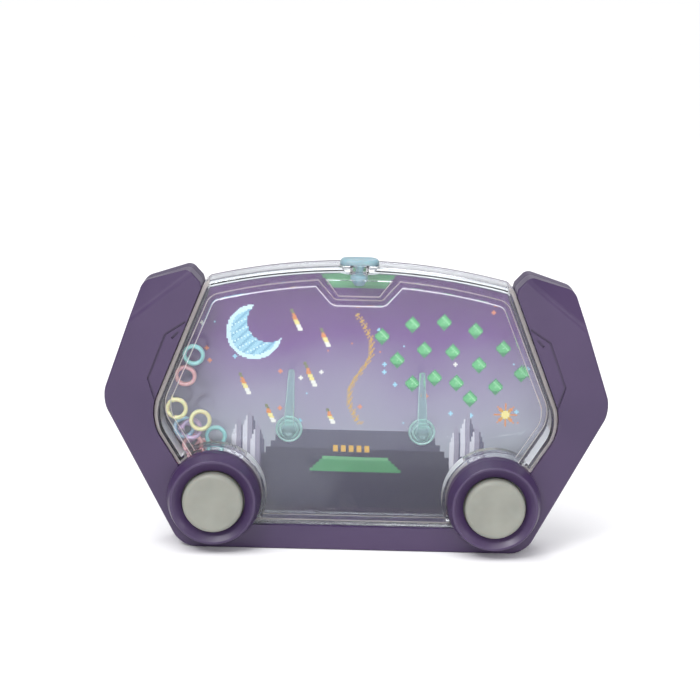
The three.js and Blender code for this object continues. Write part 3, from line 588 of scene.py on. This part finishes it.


# Which of its finishes a face of the tank's front gets, by its depth behind the rim and where it faces; the
# whitish finish is a painted highlight and the warm milky one a painted reflection.
# Facing straight to the front is -1 along Y.
def tankFinish(depth, facing):
    clear, frosted, satinHighlight, hazyReflection = range(4)
    near = 0.02
    level = facing.y < -0.99
    slope = -0.8 < facing.y < -0.6
    if level and abs(depth) < near:
        return frosted
    # the pane's upper slope, facing up: painted highlight
    if slope and depth < -0.1 and facing.z > 0.4:
        return satinHighlight
    if slope and -0.1 < depth < pane["stepDeep"] and facing.z < 0:
        return frosted  # the step's upper edge, which doesn't catch the light
    # the pane's slopes and its line's floor: painted warm reflection and light lines
    if slope and depth < pane["stepDeep"] or level and abs(depth - pane["lineDeep"]) < near:
        return hazyReflection
    # side walls: those facing up get the painted highlight, the others the painted warm reflection
    if max(abs(facing.y) * 2, abs(facing.z)) < 0.8 and depth > tank["rimRound"]:
        return satinHighlight if facing.z > 0.2 else hazyReflection
    if near < depth < tank["rimRound"] and -0.95 < facing.y < -0.15 and abs(facing.x) > 0.25:
        return hazyReflection  # the rim's rounded sides, painted lighter as highlight lines
    return clear


def tankFront():
    rim, weldY, wellY, waterY = toy["rimY"], toy["weldY"], pump["wellY"], toy["waterFrontY"]
    shell = plate("tank_window", tankRows, rim, weldY, frontRound=tank["rimRound"])
    glass = plate("pane", paneRows, rim - tank["paneRise"], waterY, frontRound=pane["chamfer"], rimSteps=3)
    well = pump["collar"] + gap
    clear = well + pump["wellWall"]
    for word, side in sides:
        cut(glass, pumpDisc("clear", clear, rim - 3 * past, waterY + past, side, fineSteps))
        join(shell, pumpDisc("foot", pump["foot"], wellY, weldY, side, footSteps))
        cut(shell, pumpDisc("well", well, rim - past, wellY, side, fineSteps))
    lineRows = offsetRows(paneRows, pane["lineOut"] + pane["lineWide"])
    line = plate("line", lineRows, rim - past, rim + pane["lineDeep"])
    cut(line, plate("inside", offsetRows(paneRows, pane["lineOut"]), rim - 2 * past, rim + past))
    cut(shell, line)
    join(shell, glass)
    cut(shell, waterSpace(waterY, weldY + past))
    footZ, topZ = plug["roomZ"]
    boss = capBlock("boss", toy["slide"] - gap, archTop - wall - plug["collarDrop"], archTop - wall + past,
                    footRound=plug["collarRound"])
    keepInside(boss, block("front", -plug["roomHalf"], plug["roomHalf"], rim, weldY, footZ, topZ))
    bore = plug["bulb"] + gap
    hole = turned("hole", [[0, footZ, 0], [bore, footZ, 0], [bore, topZ, 0], [0, topZ, 0]],
                  (0, plug["y"], 0), (0, 0, 1))
    step = plate("step", mirrored(pane["step"]), rim - past, rim + pane["stepDeep"],
                 backRound=pane["stepSlope"], rimSteps=1)
    join(shell, boss)
    ports = [pumpDisc("port", pump["port"], *pump["portY"], side) for word, side in sides]
    cut(shell, capSeat(), hole, step, *ports)
    shell.visible_shadow = False  # thin clear plastic hardly dims the light, and its shadow is only noise
    dress(shell, "housing", "clear_plastic", ["tank_front", "filler_collar"],
          clearPlastic, frostedPlastic, satinHighlightPlastic, hazyReflectionPlastic)
    for face in shell.data.polygons:
        face.material_index = tankFinish(face.center.y / mm - rim, face.normal)


tankFront()


def tankBack():
    fromY, backY = toy["weldY"] + gap, toy["tankBackY"]
    shell = plate("tank_tray", tankRows, fromY, backY, backRound=tank["backRound"])
    feet = [pumpDisc("foot", pump["foot"], fromY, backY, side, footSteps) for word, side in sides]
    join(shell, flangePlate(fromY, fromY + tank["flangeThick"]), *feet)
    cut(shell, waterSpace(fromY - past, toy["waterBackY"]), capSeat())
    shell.visible_shadow = False
    dress(shell, "housing", "clear_plastic", ["tank_back"], clearPlastic)


tankBack()
print("clear tank built")


# Small pieces

# The base's profile is [radius, y, rounding] from the back wall's clearance
peg = {"x": 21.15, "y": 2.15, "z": 36.6, "tall": 21.3, "lean": 1.8, "footWide": 3.6, "tipWide": 1.9,
       "tipRound": 0.57, "deepShare": 0.72, "base": (
           (0, -5, 0), (0.7, -5, 0.1), (1.1, -5.45, 0.15), (2, -5.45, 0.4), (2, -1.45, 0.1),
           (2.45, -1.45, 0.1), (2.75, -1.9, 0), (3.1, -1.55, 0), (3.1, -1.075, 0.1), (3.65, -1.075, 0.1),
           (3.95, -1.3, 0), (4.3, -0.95, 0), (4.3, 0, 0.2), (0, 0, 0))}


# Ringed disc on the back wall, a stub with a dimple, and a flattened upright post
def pegPiece(word, side):
    x, y = side * peg["x"], peg["y"]
    base = turned(f"peg_post_{word}", shifted(peg["base"], toy["waterBackY"] - gap), (x, 0, peg["z"]),
                  steps=pegSteps)
    bm = bmesh.new()
    height = peg["tall"] - peg["tipWide"] / 2
    bmesh.ops.create_cone(bm, cap_ends=True, segments=32, radius1=peg["footWide"] / 2 * mm,
                          radius2=peg["tipWide"] / 2 * mm, depth=height * mm)
    bmesh.ops.translate(bm, verts=bm.verts, vec=(0, 0, height / 2 * mm))
    top = [e for e in bm.edges if all(v.co.z > height * mm * 0.99 for v in e.verts)]
    bmesh.ops.bevel(bm, geom=top, offset=peg["tipRound"] * mm, segments=5, profile=0.5,
                    affect="EDGES", material=-1)
    bmesh.ops.scale(bm, verts=bm.verts, vec=(1, peg["deepShare"], 1))
    bmesh.ops.rotate(bm, verts=bm.verts, cent=(0, 0, 0),
                     matrix=Quaternion((0, 1, 0), math.radians(-side * peg["lean"])).to_matrix())
    bmesh.ops.translate(bm, verts=bm.verts, vec=(x * mm, y * mm, peg["z"] * mm))
    join(base, pieceFrom(bm, "post"))
    base.visible_shadow = False  # see-through, so its shadow would only be noise
    dress(base, "housing", "peg_turquoise", [f"peg_{word}"], mintPolystyrene, mintHighlightEdge)
    for face in base.data.polygons:  # the two rings' sloped edges, which lie behind the post, get the painted highlight finish
        if face.center.y / mm > y + peg["footWide"] and -0.95 < face.normal.y < -0.3:
            face.material_index = 1


button = {"radius": 9.45, "edge": 1.4, "wall": 1.4, "flange": 1.2, "flangeThick": 1.2, "stem": 3.0,
          "dish": 0.25, "dishShares": ((0, 1), (0.45, 0.8), (0.8, 0.25))}
bellows = {"frontY": -8.9, "radius": 8.2, "waist": 6.6, "wall": 0.9, "flange": 1.6, "flangeThick": 1.1,
           "folds": 2, "foldSteps": 6, "collarShare": 0.12, "neck": 0.8, "crownRound": 0.5,
           "flangeRound": 0.2, "travel": 3.0}


# Cap with a barely dished face, an inner stem and a flange that the collar holds back
def buttonCap(word, side):
    flangeY = collar["dishY"] + collar["lipThick"] + gap
    flangeBack = flangeY + button["flangeThick"]
    front, radius = toy["frontY"], button["radius"]
    inside, innerY = radius - button["wall"], front + button["wall"]
    stemY = bellows["frontY"] - gap
    cap = turned(f"button_cap_{word}", [
        *[[radius * out, front + button["dish"] * deep, 0] for out, deep in button["dishShares"]],
        [radius, front, button["edge"]], [radius, flangeY, 0], [radius + button["flange"], flangeY, 0],
        [radius + button["flange"], flangeBack, 0], [inside, flangeBack, 0], [inside, innerY, 0],
        [button["stem"], innerY, 0], [button["stem"], stemY, 0], [0, stemY, 0]],
        (side * pump["x"], 0, pump["z"]), steps=fineSteps, roundSteps=6)
    dress(cap, f"button_{word}", "button_grey", [f"button_{word}"], greyPolypropylene)


# Rubber bellows with folds, behind the button
def bellowsPiece(word, side):
    skirtY = pump["wellY"] - gap
    flangeY = skirtY - bellows["flangeThick"]
    frontY, waist, skin = bellows["frontY"], bellows["waist"], bellows["wall"]
    folds = []
    steps = bellows["folds"] * bellows["foldSteps"]
    start = frontY + (flangeY - frontY) * bellows["collarShare"]
    for k in range(steps + 1):
        swell = (1 - math.cos(2 * math.pi * k / bellows["foldSteps"])) / 2
        radius = waist + (bellows["radius"] - waist) * swell
        folds.append([radius, start + (flangeY - bellows["neck"] - start) * k / steps, 0])
    inner = [[radius - skin, y, 0] for radius, y, rounding in reversed(folds)]
    inner[0][1] = skirtY
    edge, corner = bellows["radius"] + bellows["flange"], bellows["flangeRound"]
    shape = turned(f"bellows_{word}", [
        [0, frontY, 0], [waist, frontY, bellows["crownRound"]], *folds, [waist, flangeY, 0],
        [edge, flangeY, corner], [edge, skirtY, corner], *inner, [waist - skin, frontY + skin, 0],
        [0, frontY + skin, 0]], (side * pump["x"], 0, pump["z"]), steps=pegSteps)
    dress(shape, "housing", "bellows_rubber", [f"pump_bellows_{word}"], blackRubber)
    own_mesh(shape)


for word, side in sides:
    pegPiece(word, side)
    buttonCap(word, side)
    bellowsPiece(word, side)
    for node in (f"pump_retainer_{word}", f"jet_nozzle_{word}"):
        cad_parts[node].data.materials.clear()
        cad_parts[node].data.materials.append(naturalPolypropylene)
print("pegs, buttons and pumps built")


# Pan-head screw, seen from the back, with a cross recess
def screwPiece(number, x, z):
    headY = toy["backY"] - screw["sink"] + gap
    shape = turned(f"screw_{number}", shifted(screw["profile"], headY), (x, 0, z), steps=screwSteps)
    fromY, toY = headY + screw["slotY"], headY + screw["top"] + past
    arm, wide = screw["slotHalf"], screw["slotHalfWide"]
    cut(shape, block("slot", x - arm, x + arm, fromY, toY, z - wide, z + wide),
        block("slot", x - wide, x + wide, fromY, toY, z - arm, z + arm))
    dress(shape, "housing", "screw_steel", [f"cover_screw_{number}"], screwSteel)


for number, (x, z) in enumerate(screwPlaces, 1):
    screwPiece(number, x, z)


# Plug of soft plastic: wide rounded cap on a neck and a bulb
def plugPiece():
    capZ = archTop - plug["seatDrop"] + gap
    cap = capBlock("plug_cap", 0, capZ, capZ + plug["capThick"], plug["capRound"], plug["footRound"])
    join(cap, turned("stem", shifted(plug["stem"], capZ), (0, plug["y"], 0), (0, 0, 1)))
    dress(cap, "filler_plug", "plug_blue", ["filler_plug"], bluePvc)


plugPiece()

# Rings: soft pastel plastic, flat sided with round edges; a few are tilted, in degrees
ring = {"outer": 3.5, "bore": 2.27, "thick": 1.6, "innerRound": 0.45, "outerRound": 0.6, "shade": 0.93}
ringTints = {"turquoise": "#8fc0c1", "yellow": "#cbc79b", "lilac": "#b5a3bf", "blue": "#a2c1d2",
             "pink": "#d6a9ae"}
ringTilts = {"turquoise_low": 0, "turquoise_high": 9, "yellow": 0, "yellow_high": 0, "lilac": 0,
             "lilac_low": 0, "blue": 0, "pink_low": 0, "pink_foot": 0, "pink_high": 9}


# Polyethylene: waxy, light soaks in a little
def ringPlastic(colour, tint):
    dark = "#" + "".join(f"{int(int(tint[i:i + 2], 16) * ring['shade']):02x}" for i in (1, 3, 5))
    return mouldedPlastic(f"polyethylene_{colour}", {
        "shader": {"IOR": 1.51, "Subsurface Weight": 0.3, "Subsurface Scale": 1 * mm}, "dark": dark,
        "light": tint, "cloudSize": 3, "smearSize": 2, "roughness": (0.3, 0.45), "grainSize": 0.3,
        "grainStrength": 0.2, "grainHeight": 0.01})


ringMaterials = {colour: ringPlastic(colour, tint) for colour, tint in ringTints.items()}


def ringPiece(name, tilt):
    colour = name.split("_")[0]
    low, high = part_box(f"ring_{name}")
    half = ring["thick"] / 2
    lean = math.radians(tilt)
    shape = turned(f"toss_{name}", [
        [ring["bore"], -half, ring["innerRound"]], [ring["outer"], -half, ring["outerRound"]],
        [ring["outer"], half, ring["outerRound"]], [ring["bore"], half, ring["innerRound"]]],
        tuple((low + high) / 2 / mm), (0, math.cos(lean), math.sin(lean)), roundSteps=5)
    dress(shape, f"ring_{name}", f"ring_{colour}", [f"ring_{name}"], ringMaterials[colour])


for name, tilt in ringTilts.items():
    ringPiece(name, tilt)
print("screws, plug and rings built")


# Printed card: a night sky in square dots of half a millimetre

art = {"dot": 0.5, "cardInset": 2.4, "spareDots": 4, "seed": 7, "reach": 18}
inks = {"gemEdge": "#3b8a58", "gem": "#5db673", "gemLight": "#9adba0", "star": "#98cfe2", "spark": "#e2865c",
        "white": "#ece7dc", "cream": "#eedc86", "orange": "#dd8440", "olive": "#74764f", "gold": "#cf9f3c",
        "moon": "#9ccbdc", "moonShade": "#76abc6", "moonLight": "#d3ecf1", "stone": "#938b9c",
        "stoneLight": "#cdc8d0", "stoneShade": "#5a546b", "ground": "#332d45", "groundTop": "#4b465c",
        "leaf": "#4a8c5e", "leafLight": "#63a070"}
dots = {}


def ink(x, z, name):
    dots[(math.floor(x), math.floor(z))] = name


# A shape is drawn by a test on each dot near its centre, in dots; the test names an ink or None
def drawShape(x, z, test):
    near = range(-art["reach"], art["reach"] + 1)
    for i in near:
        for j in near:
            name = test(i, j)
            if name:
                ink(x / art["dot"] + i, z / art["dot"] + j, name)


motif = {"gem": 5, "gemHalf": 4, "gemShade": -2, "moon": 17.5, "moonRim": 15, "bite": 13.5, "biteAt": (9, 7),
         "core": 2.5, "flame": 4, "burst": 3, "rays": 4.5, "crystalHalf": 4, "crystalTip": 15,
         "crystalFoot": -14}


def gem(i, j):
    size = abs(i) + abs(j)
    if size > motif["gem"] or abs(i) > motif["gemHalf"]:
        return None
    if size == motif["gem"] or j < motif["gemShade"]:
        return "gemEdge"
    return "gemLight" if i + j == 2 or i == j == 0 else "gem"


def moonDot(i, j):
    away = math.hypot(i, j)
    biteX, biteZ = motif["biteAt"]
    if away > motif["moon"] or math.hypot(i - biteX, j - biteZ) < motif["bite"]:
        return None
    if away > motif["moonRim"] or (i * 3 + j * 5) % 11 == 0:
        return "moonLight"
    return "moonShade" if (i - j) % 6 < 2 else "moon"


def burst(i, j):
    away, turn = math.hypot(i, j), math.atan2(j, i)
    if away > motif["burst"] + motif["rays"] * abs(math.cos(4 * turn)) ** 3:
        return None
    return "cream" if away < motif["core"] else "gold" if away < motif["flame"] else "orange"


def crystal(i, j):
    half = min(motif["crystalHalf"], (motif["crystalTip"] - j) / 3)
    if j < motif["crystalFoot"] or abs(i) > half:
        return None
    return "stoneLight" if i < -1 else "stone" if i < 2 else "stoneShade"


# Streaks that fall to the right, bright at the head and fading along the tail
def comet(x, z, length):
    names = ("white", "cream", "orange", "olive")
    for k in range(length):
        for w in range(3 if k < length * 0.6 else 2):
            ink(x / art["dot"] - k // 2 - w, z / art["dot"] + k, names[k * len(names) // length])


def fillBand(fromX, toX, z, height, name):
    for i in range(math.floor(fromX / art["dot"]), math.floor(toX / art["dot"])):
        for j in range(int(height / art["dot"])):
            ink(i, z / art["dot"] + j, name)


motifs = {
    "stars": 46, "starX": (-56, 56), "starZ": (36, 84), "clearHalf": 18, "clearZ": 76, "moon": (-33, 67),
    "comets": ((-18, 68, 14), (-13, 50, 16), (-34, 47, 14), (-26, 38, 12), (-9, 63, 12), (-7, 38, 10)),
    "gems": (25, 41), "gemArcs": ((13, 4), (22, 5), (31, 6)), "gemTurns": (28, 96), "burst": (47.5, 42),
    "chain": (0.5, 38), "chainLong": 36, "chainWave": (3.5, 0.19), "lamps": 5, "lamp": (-7, -5.5, 29),
    "lampPitch": 2.6, "lampTall": 2,
    "crystals": ((-37.5, 32), (-34, 35), (-31.5, 30.5), (32, 31), (35.5, 35.5), (38.5, 31.5))}
# Stepped patches: dark ground, a green band on it, and leaves that hang behind the filler. Each row has
# the steps, half width, growth and the step it starts from, foot, rise, two inks and the second's steps.
patches = ((14, 30, -1.5, 9, 8, 2, "ground", "groundTop", (11, 12, 13)),
           (5, 14.5, -1, 0, 22.5, 1, "leaf", "leafLight", (4,)),
           (5, 9, 0.7, 0, 82, 1, "leaf", "leafLight", (1, 2)))


def drawScene():
    draw, dot = random.Random(art["seed"]), art["dot"]
    for k in range(motifs["stars"]):
        x, z = draw.uniform(*motifs["starX"]), draw.uniform(*motifs["starZ"])
        name = draw.choice(("star", "star", "spark", "white"))
        if abs(x) < motifs["clearHalf"] and z > motifs["clearZ"]:
            continue
        for i, j in ((0, 0), (1, 0), (-1, 0), (0, 1), (0, -1)) if k % 3 else ((0, 0),):
            ink(x / dot + i, z / dot + j, name)
    drawShape(*motifs["moon"], moonDot)
    for x, z, length in motifs["comets"]:
        comet(x, z, length)
    middle, height = motifs["gems"]
    fromTurn, sweep = motifs["gemTurns"]
    for radius, count in motifs["gemArcs"]:
        for k in range(count):
            turn = math.radians(fromTurn + sweep * k / (count - 1))
            drawShape(middle + radius * math.cos(turn), height + radius * math.sin(turn), gem)
    (middle, foot), (swing, rate) = motifs["chain"], motifs["chainWave"]
    for k in range(motifs["chainLong"]):  # a gold chain of dots on a slow wave
        x = middle - swing * math.sin(k * rate)
        for i in (0, 2 - k % 2):
            ink(x / dot + i, (foot + k) / dot, "gold")
            ink(x / dot + i + 1, (foot + k) / dot + 1, "gold")
    drawShape(*motifs["burst"], burst)
    for x, z in motifs["crystals"]:
        drawShape(x, z, crystal)
    for steps, half, grow, start, foot, rise, name, lit, litSteps in patches:
        for step in range(steps):
            reach = half + grow * max(0, step - start)
            fillBand(-reach, reach, foot + step * rise, rise, lit if step in litSteps else name)
    left, right, foot = motifs["lamp"]
    for k in range(motifs["lamps"]):  # a row of plain lamps on the ground
        along = k * motifs["lampPitch"]
        fillBand(left + along, right + along, foot, motifs["lampTall"], "gold")


drawScene()

# The sky runs from pale grey-blue near the ground up to violet, on slow waves
cardLook = {"skyZ": (14, 84), "waveSize": 40, "waveHeight": 6, "paperSize": 0.25, "paperShare": 0.025,
            "paper": "#e8e4ea", "varnishSize": 5, "roughness": (0.36, 0.5),
            "sky": ((0.0, "#75737c"), (0.2, "#9b9ba4"), (0.45, "#92889f"), (0.72, "#6b3f80"),
                    (1.0, "#4d1a5e"))}


# Coated card: offset print under a thin varnish of uneven gloss, with a trace of the paper's grain
def printedCard():
    material, tree, shader, place = startMaterial("varnishedPrintedCard", {
        "IOR": 1.5, "Specular IOR Level": 0.35, "Coat Weight": 0.15, "Coat Roughness": 0.2})
    height = addNode(tree, "ShaderNodeSeparateXYZ", links={0: place}).outputs["Z"]
    wave = cardLook["waveHeight"] * mm
    shift = spread(tree, place, cardLook["waveSize"], -wave, wave, detail=1.0)
    level = addNode(tree, "ShaderNodeMath", {"operation": "ADD"}, {0: height, 1: shift})
    lowZ, highZ = cardLook["skyZ"]
    share = addNode(tree, "ShaderNodeMapRange", {"From Min": lowZ * mm, "From Max": highZ * mm},
                    {"Value": level.outputs[0]})
    sky = addNode(tree, "ShaderNodeValToRGB", links={"Fac": share.outputs["Result"]})
    while len(sky.color_ramp.elements) < len(cardLook["sky"]):
        sky.color_ramp.elements.new(0.5)
    for element, (at, code) in zip(sky.color_ramp.elements, cardLook["sky"]):
        element.position = at
        element.color = hexColor(code)
    dotInk = addNode(tree, "ShaderNodeAttribute", {"attribute_name": "print"})
    flat = addNode(tree, "ShaderNodeMix", {"data_type": "RGBA"},
                   {0: dotInk.outputs["Alpha"], 6: sky.outputs["Color"], 7: dotInk.outputs["Color"]})
    grain = spread(tree, place, cardLook["paperSize"], 0.0, cardLook["paperShare"], detail=1.0)
    printed = addNode(tree, "ShaderNodeMix", {"data_type": "RGBA", 7: hexColor(cardLook["paper"])},
                      {0: grain, 6: flat.outputs[2]})
    tree.links.new(printed.outputs[2], shader.inputs["Base Color"])
    gloss = spread(tree, place, cardLook["varnishSize"], *cardLook["roughness"])
    tree.links.new(gloss, shader.inputs["Roughness"])
    return material


def backdrop():
    low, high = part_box("backdrop_card")
    fromY, dot, spare = low.y / mm, art["dot"], art["spareDots"]
    across, up = int((high.x - low.x) / mm / dot) + spare, int((high.z - low.z) / mm / dot) + spare
    bm = bmesh.new()
    bmesh.ops.create_grid(bm, x_segments=across, y_segments=up, size=0.5)
    bmesh.ops.scale(bm, verts=bm.verts, vec=(across * dot * mm, up * dot * mm, 1))
    bmesh.ops.rotate(bm, verts=bm.verts, cent=(0, 0, 0),
                     matrix=Quaternion((1, 0, 0), math.pi / 2).to_matrix())
    startX, startZ = math.floor(low.x / mm / dot) - 1, math.floor(low.z / mm / dot) - 1
    bmesh.ops.translate(bm, verts=bm.verts, vec=((startX + across / 2) * dot * mm, fromY * mm,
                                                 (startZ + up / 2) * dot * mm))
    thicken(bm, toy["cardThick"])
    card = pieceFrom(bm, "printed_card")
    outline = plate("outline", offsetRows(tankRows, -art["cardInset"]), fromY - past, fromY + past)
    top = archRows(0, casingHalf, archTop - casing["drop"] - gap, toy["archRadius"] - casing["drop"])
    below = plate("below", mirrored(top + [[casingHalf, 0, 0]]), fromY - 2 * past, fromY + 2 * past)
    keepInside(card, outline, below)
    colors = card.data.color_attributes.new("print", "FLOAT_COLOR", "CORNER")
    for face in card.data.polygons:
        name = dots.get((math.floor(face.center.x / mm / dot), math.floor(face.center.z / mm / dot)))
        color = hexColor(inks[name]) if name and face.normal.y < -0.9 else [0.0, 0.0, 0.0, 0.0]
        for corner in face.loop_indices:
            colors.data[corner].color = color
    dress(card, "housing", "printed_card", ["backdrop_card"], printedCard())


backdrop()
print("card printed")


# Studio: pale floor, soft lights, and the camera where the photograph was taken

studio = {"floorColors": ("#fafafa", "#ffffff"), "floorSize": 40, "mottleSize": 60, "room": "#fbfbff",
          "roomStrength": 0.65, "sweep": "#ffffff", "middle": (0, 0, 0.045), "sunStrength": 1.5,
          "sunFrom": (-0.35, -0.6, 1.3), "sunAngle": 50}
# Place, size and power of each soft light
softLights = {"key": ((-0.4, -0.7, 0.75), 0.3, 2.6), "fill": ((0.7, -0.5, 0.35), 0.25, 0.6),
              "front": ((0.05, -0.9, 0.3), 0.4, 1.5), "back": ((0.15, 0.7, 0.8), 0.4, 2)}
view = {"place": (-3.77, -572.0, 179.66), "down": 11.443, "turn": 0.142, "roll": 1.395,
        "focalPixels": 1869.4, "pictureWide": 700, "sensor": 36.0, "clip": (0.01, 60)}


# Matt white paper with a faint mottle
def matteFloor():
    material, tree, shader, place = startMaterial("whitePaperSweep", {
        "Roughness": 0.9, "Specular IOR Level": 0.2})
    mottle = addNode(tree, "ShaderNodeTexNoise", {"Scale": perSize(studio["mottleSize"])}, {"Vector": place})
    shade(tree, shader, *studio["floorColors"], mottle.outputs["Fac"])
    return material


def hangLamp(name, kind, place, aim, power):
    lamp = bpy.data.lights.new(name, kind)
    lamp.energy = power
    holder = addObject(name, lamp)
    holder.location = place
    holder.rotation_euler = aim.to_track_quat("-Z", "Y").to_euler()
    return lamp


def buildStudio():
    bm = bmesh.new()
    bmesh.ops.create_grid(bm, x_segments=4, y_segments=4, size=studio["floorSize"] / 2)
    floor = pieceFrom(bm, "floor")
    floor.data.materials.append(matteFloor())
    world = bpy.context.scene.world or bpy.data.worlds.new("studio")
    bpy.context.scene.world = world
    world.use_nodes = True
    tree = world.node_tree
    tree.nodes.clear()
    # The sweep behind the toy is seen white, while the room lights it more softly
    room = addNode(tree, "ShaderNodeBackground",
                   {"Color": hexColor(studio["room"]), "Strength": studio["roomStrength"]})
    sweep = addNode(tree, "ShaderNodeBackground", {"Color": hexColor(studio["sweep"]), "Strength": 1.0})
    seen = addNode(tree, "ShaderNodeLightPath").outputs["Is Camera Ray"]
    mixed = addNode(tree, "ShaderNodeMixShader", links={0: seen, 1: room.outputs[0], 2: sweep.outputs[0]})
    addNode(tree, "ShaderNodeOutputWorld", links={"Surface": mixed.outputs[0]})
    for name, (place, size, power) in softLights.items():
        lamp = hangLamp(name, "AREA", place, Vector(studio["middle"]) - Vector(place), power)
        lamp.shape = "DISK"
        lamp.size = size
    sun = hangLamp("overhead", "SUN", (0, 0, 0), -Vector(studio["sunFrom"]), studio["sunStrength"])
    sun.angle = math.radians(studio["sunAngle"])
    bpy.context.scene.view_settings.view_transform = "Standard"


def buildCamera():
    down, turn = math.radians(view["down"]), math.radians(view["turn"])
    aim = Vector((math.sin(turn) * math.cos(down), math.cos(turn) * math.cos(down), -math.sin(down)))
    data = bpy.data.cameras.new("camera")
    data.sensor_width = view["sensor"]
    data.lens = view["focalPixels"] / view["pictureWide"] * view["sensor"]
    data.clip_start, data.clip_end = view["clip"]
    camera = addObject("camera", data)
    camera.location = Vector(view["place"]) * mm
    camera.rotation_mode = "QUATERNION"
    roll = Quaternion((0, 0, 1), math.radians(view["roll"]))
    camera.rotation_quaternion = aim.to_track_quat("-Z", "Y") @ roll
    bpy.context.scene.camera = camera


buildStudio()
buildCamera()
print("studio and camera set")
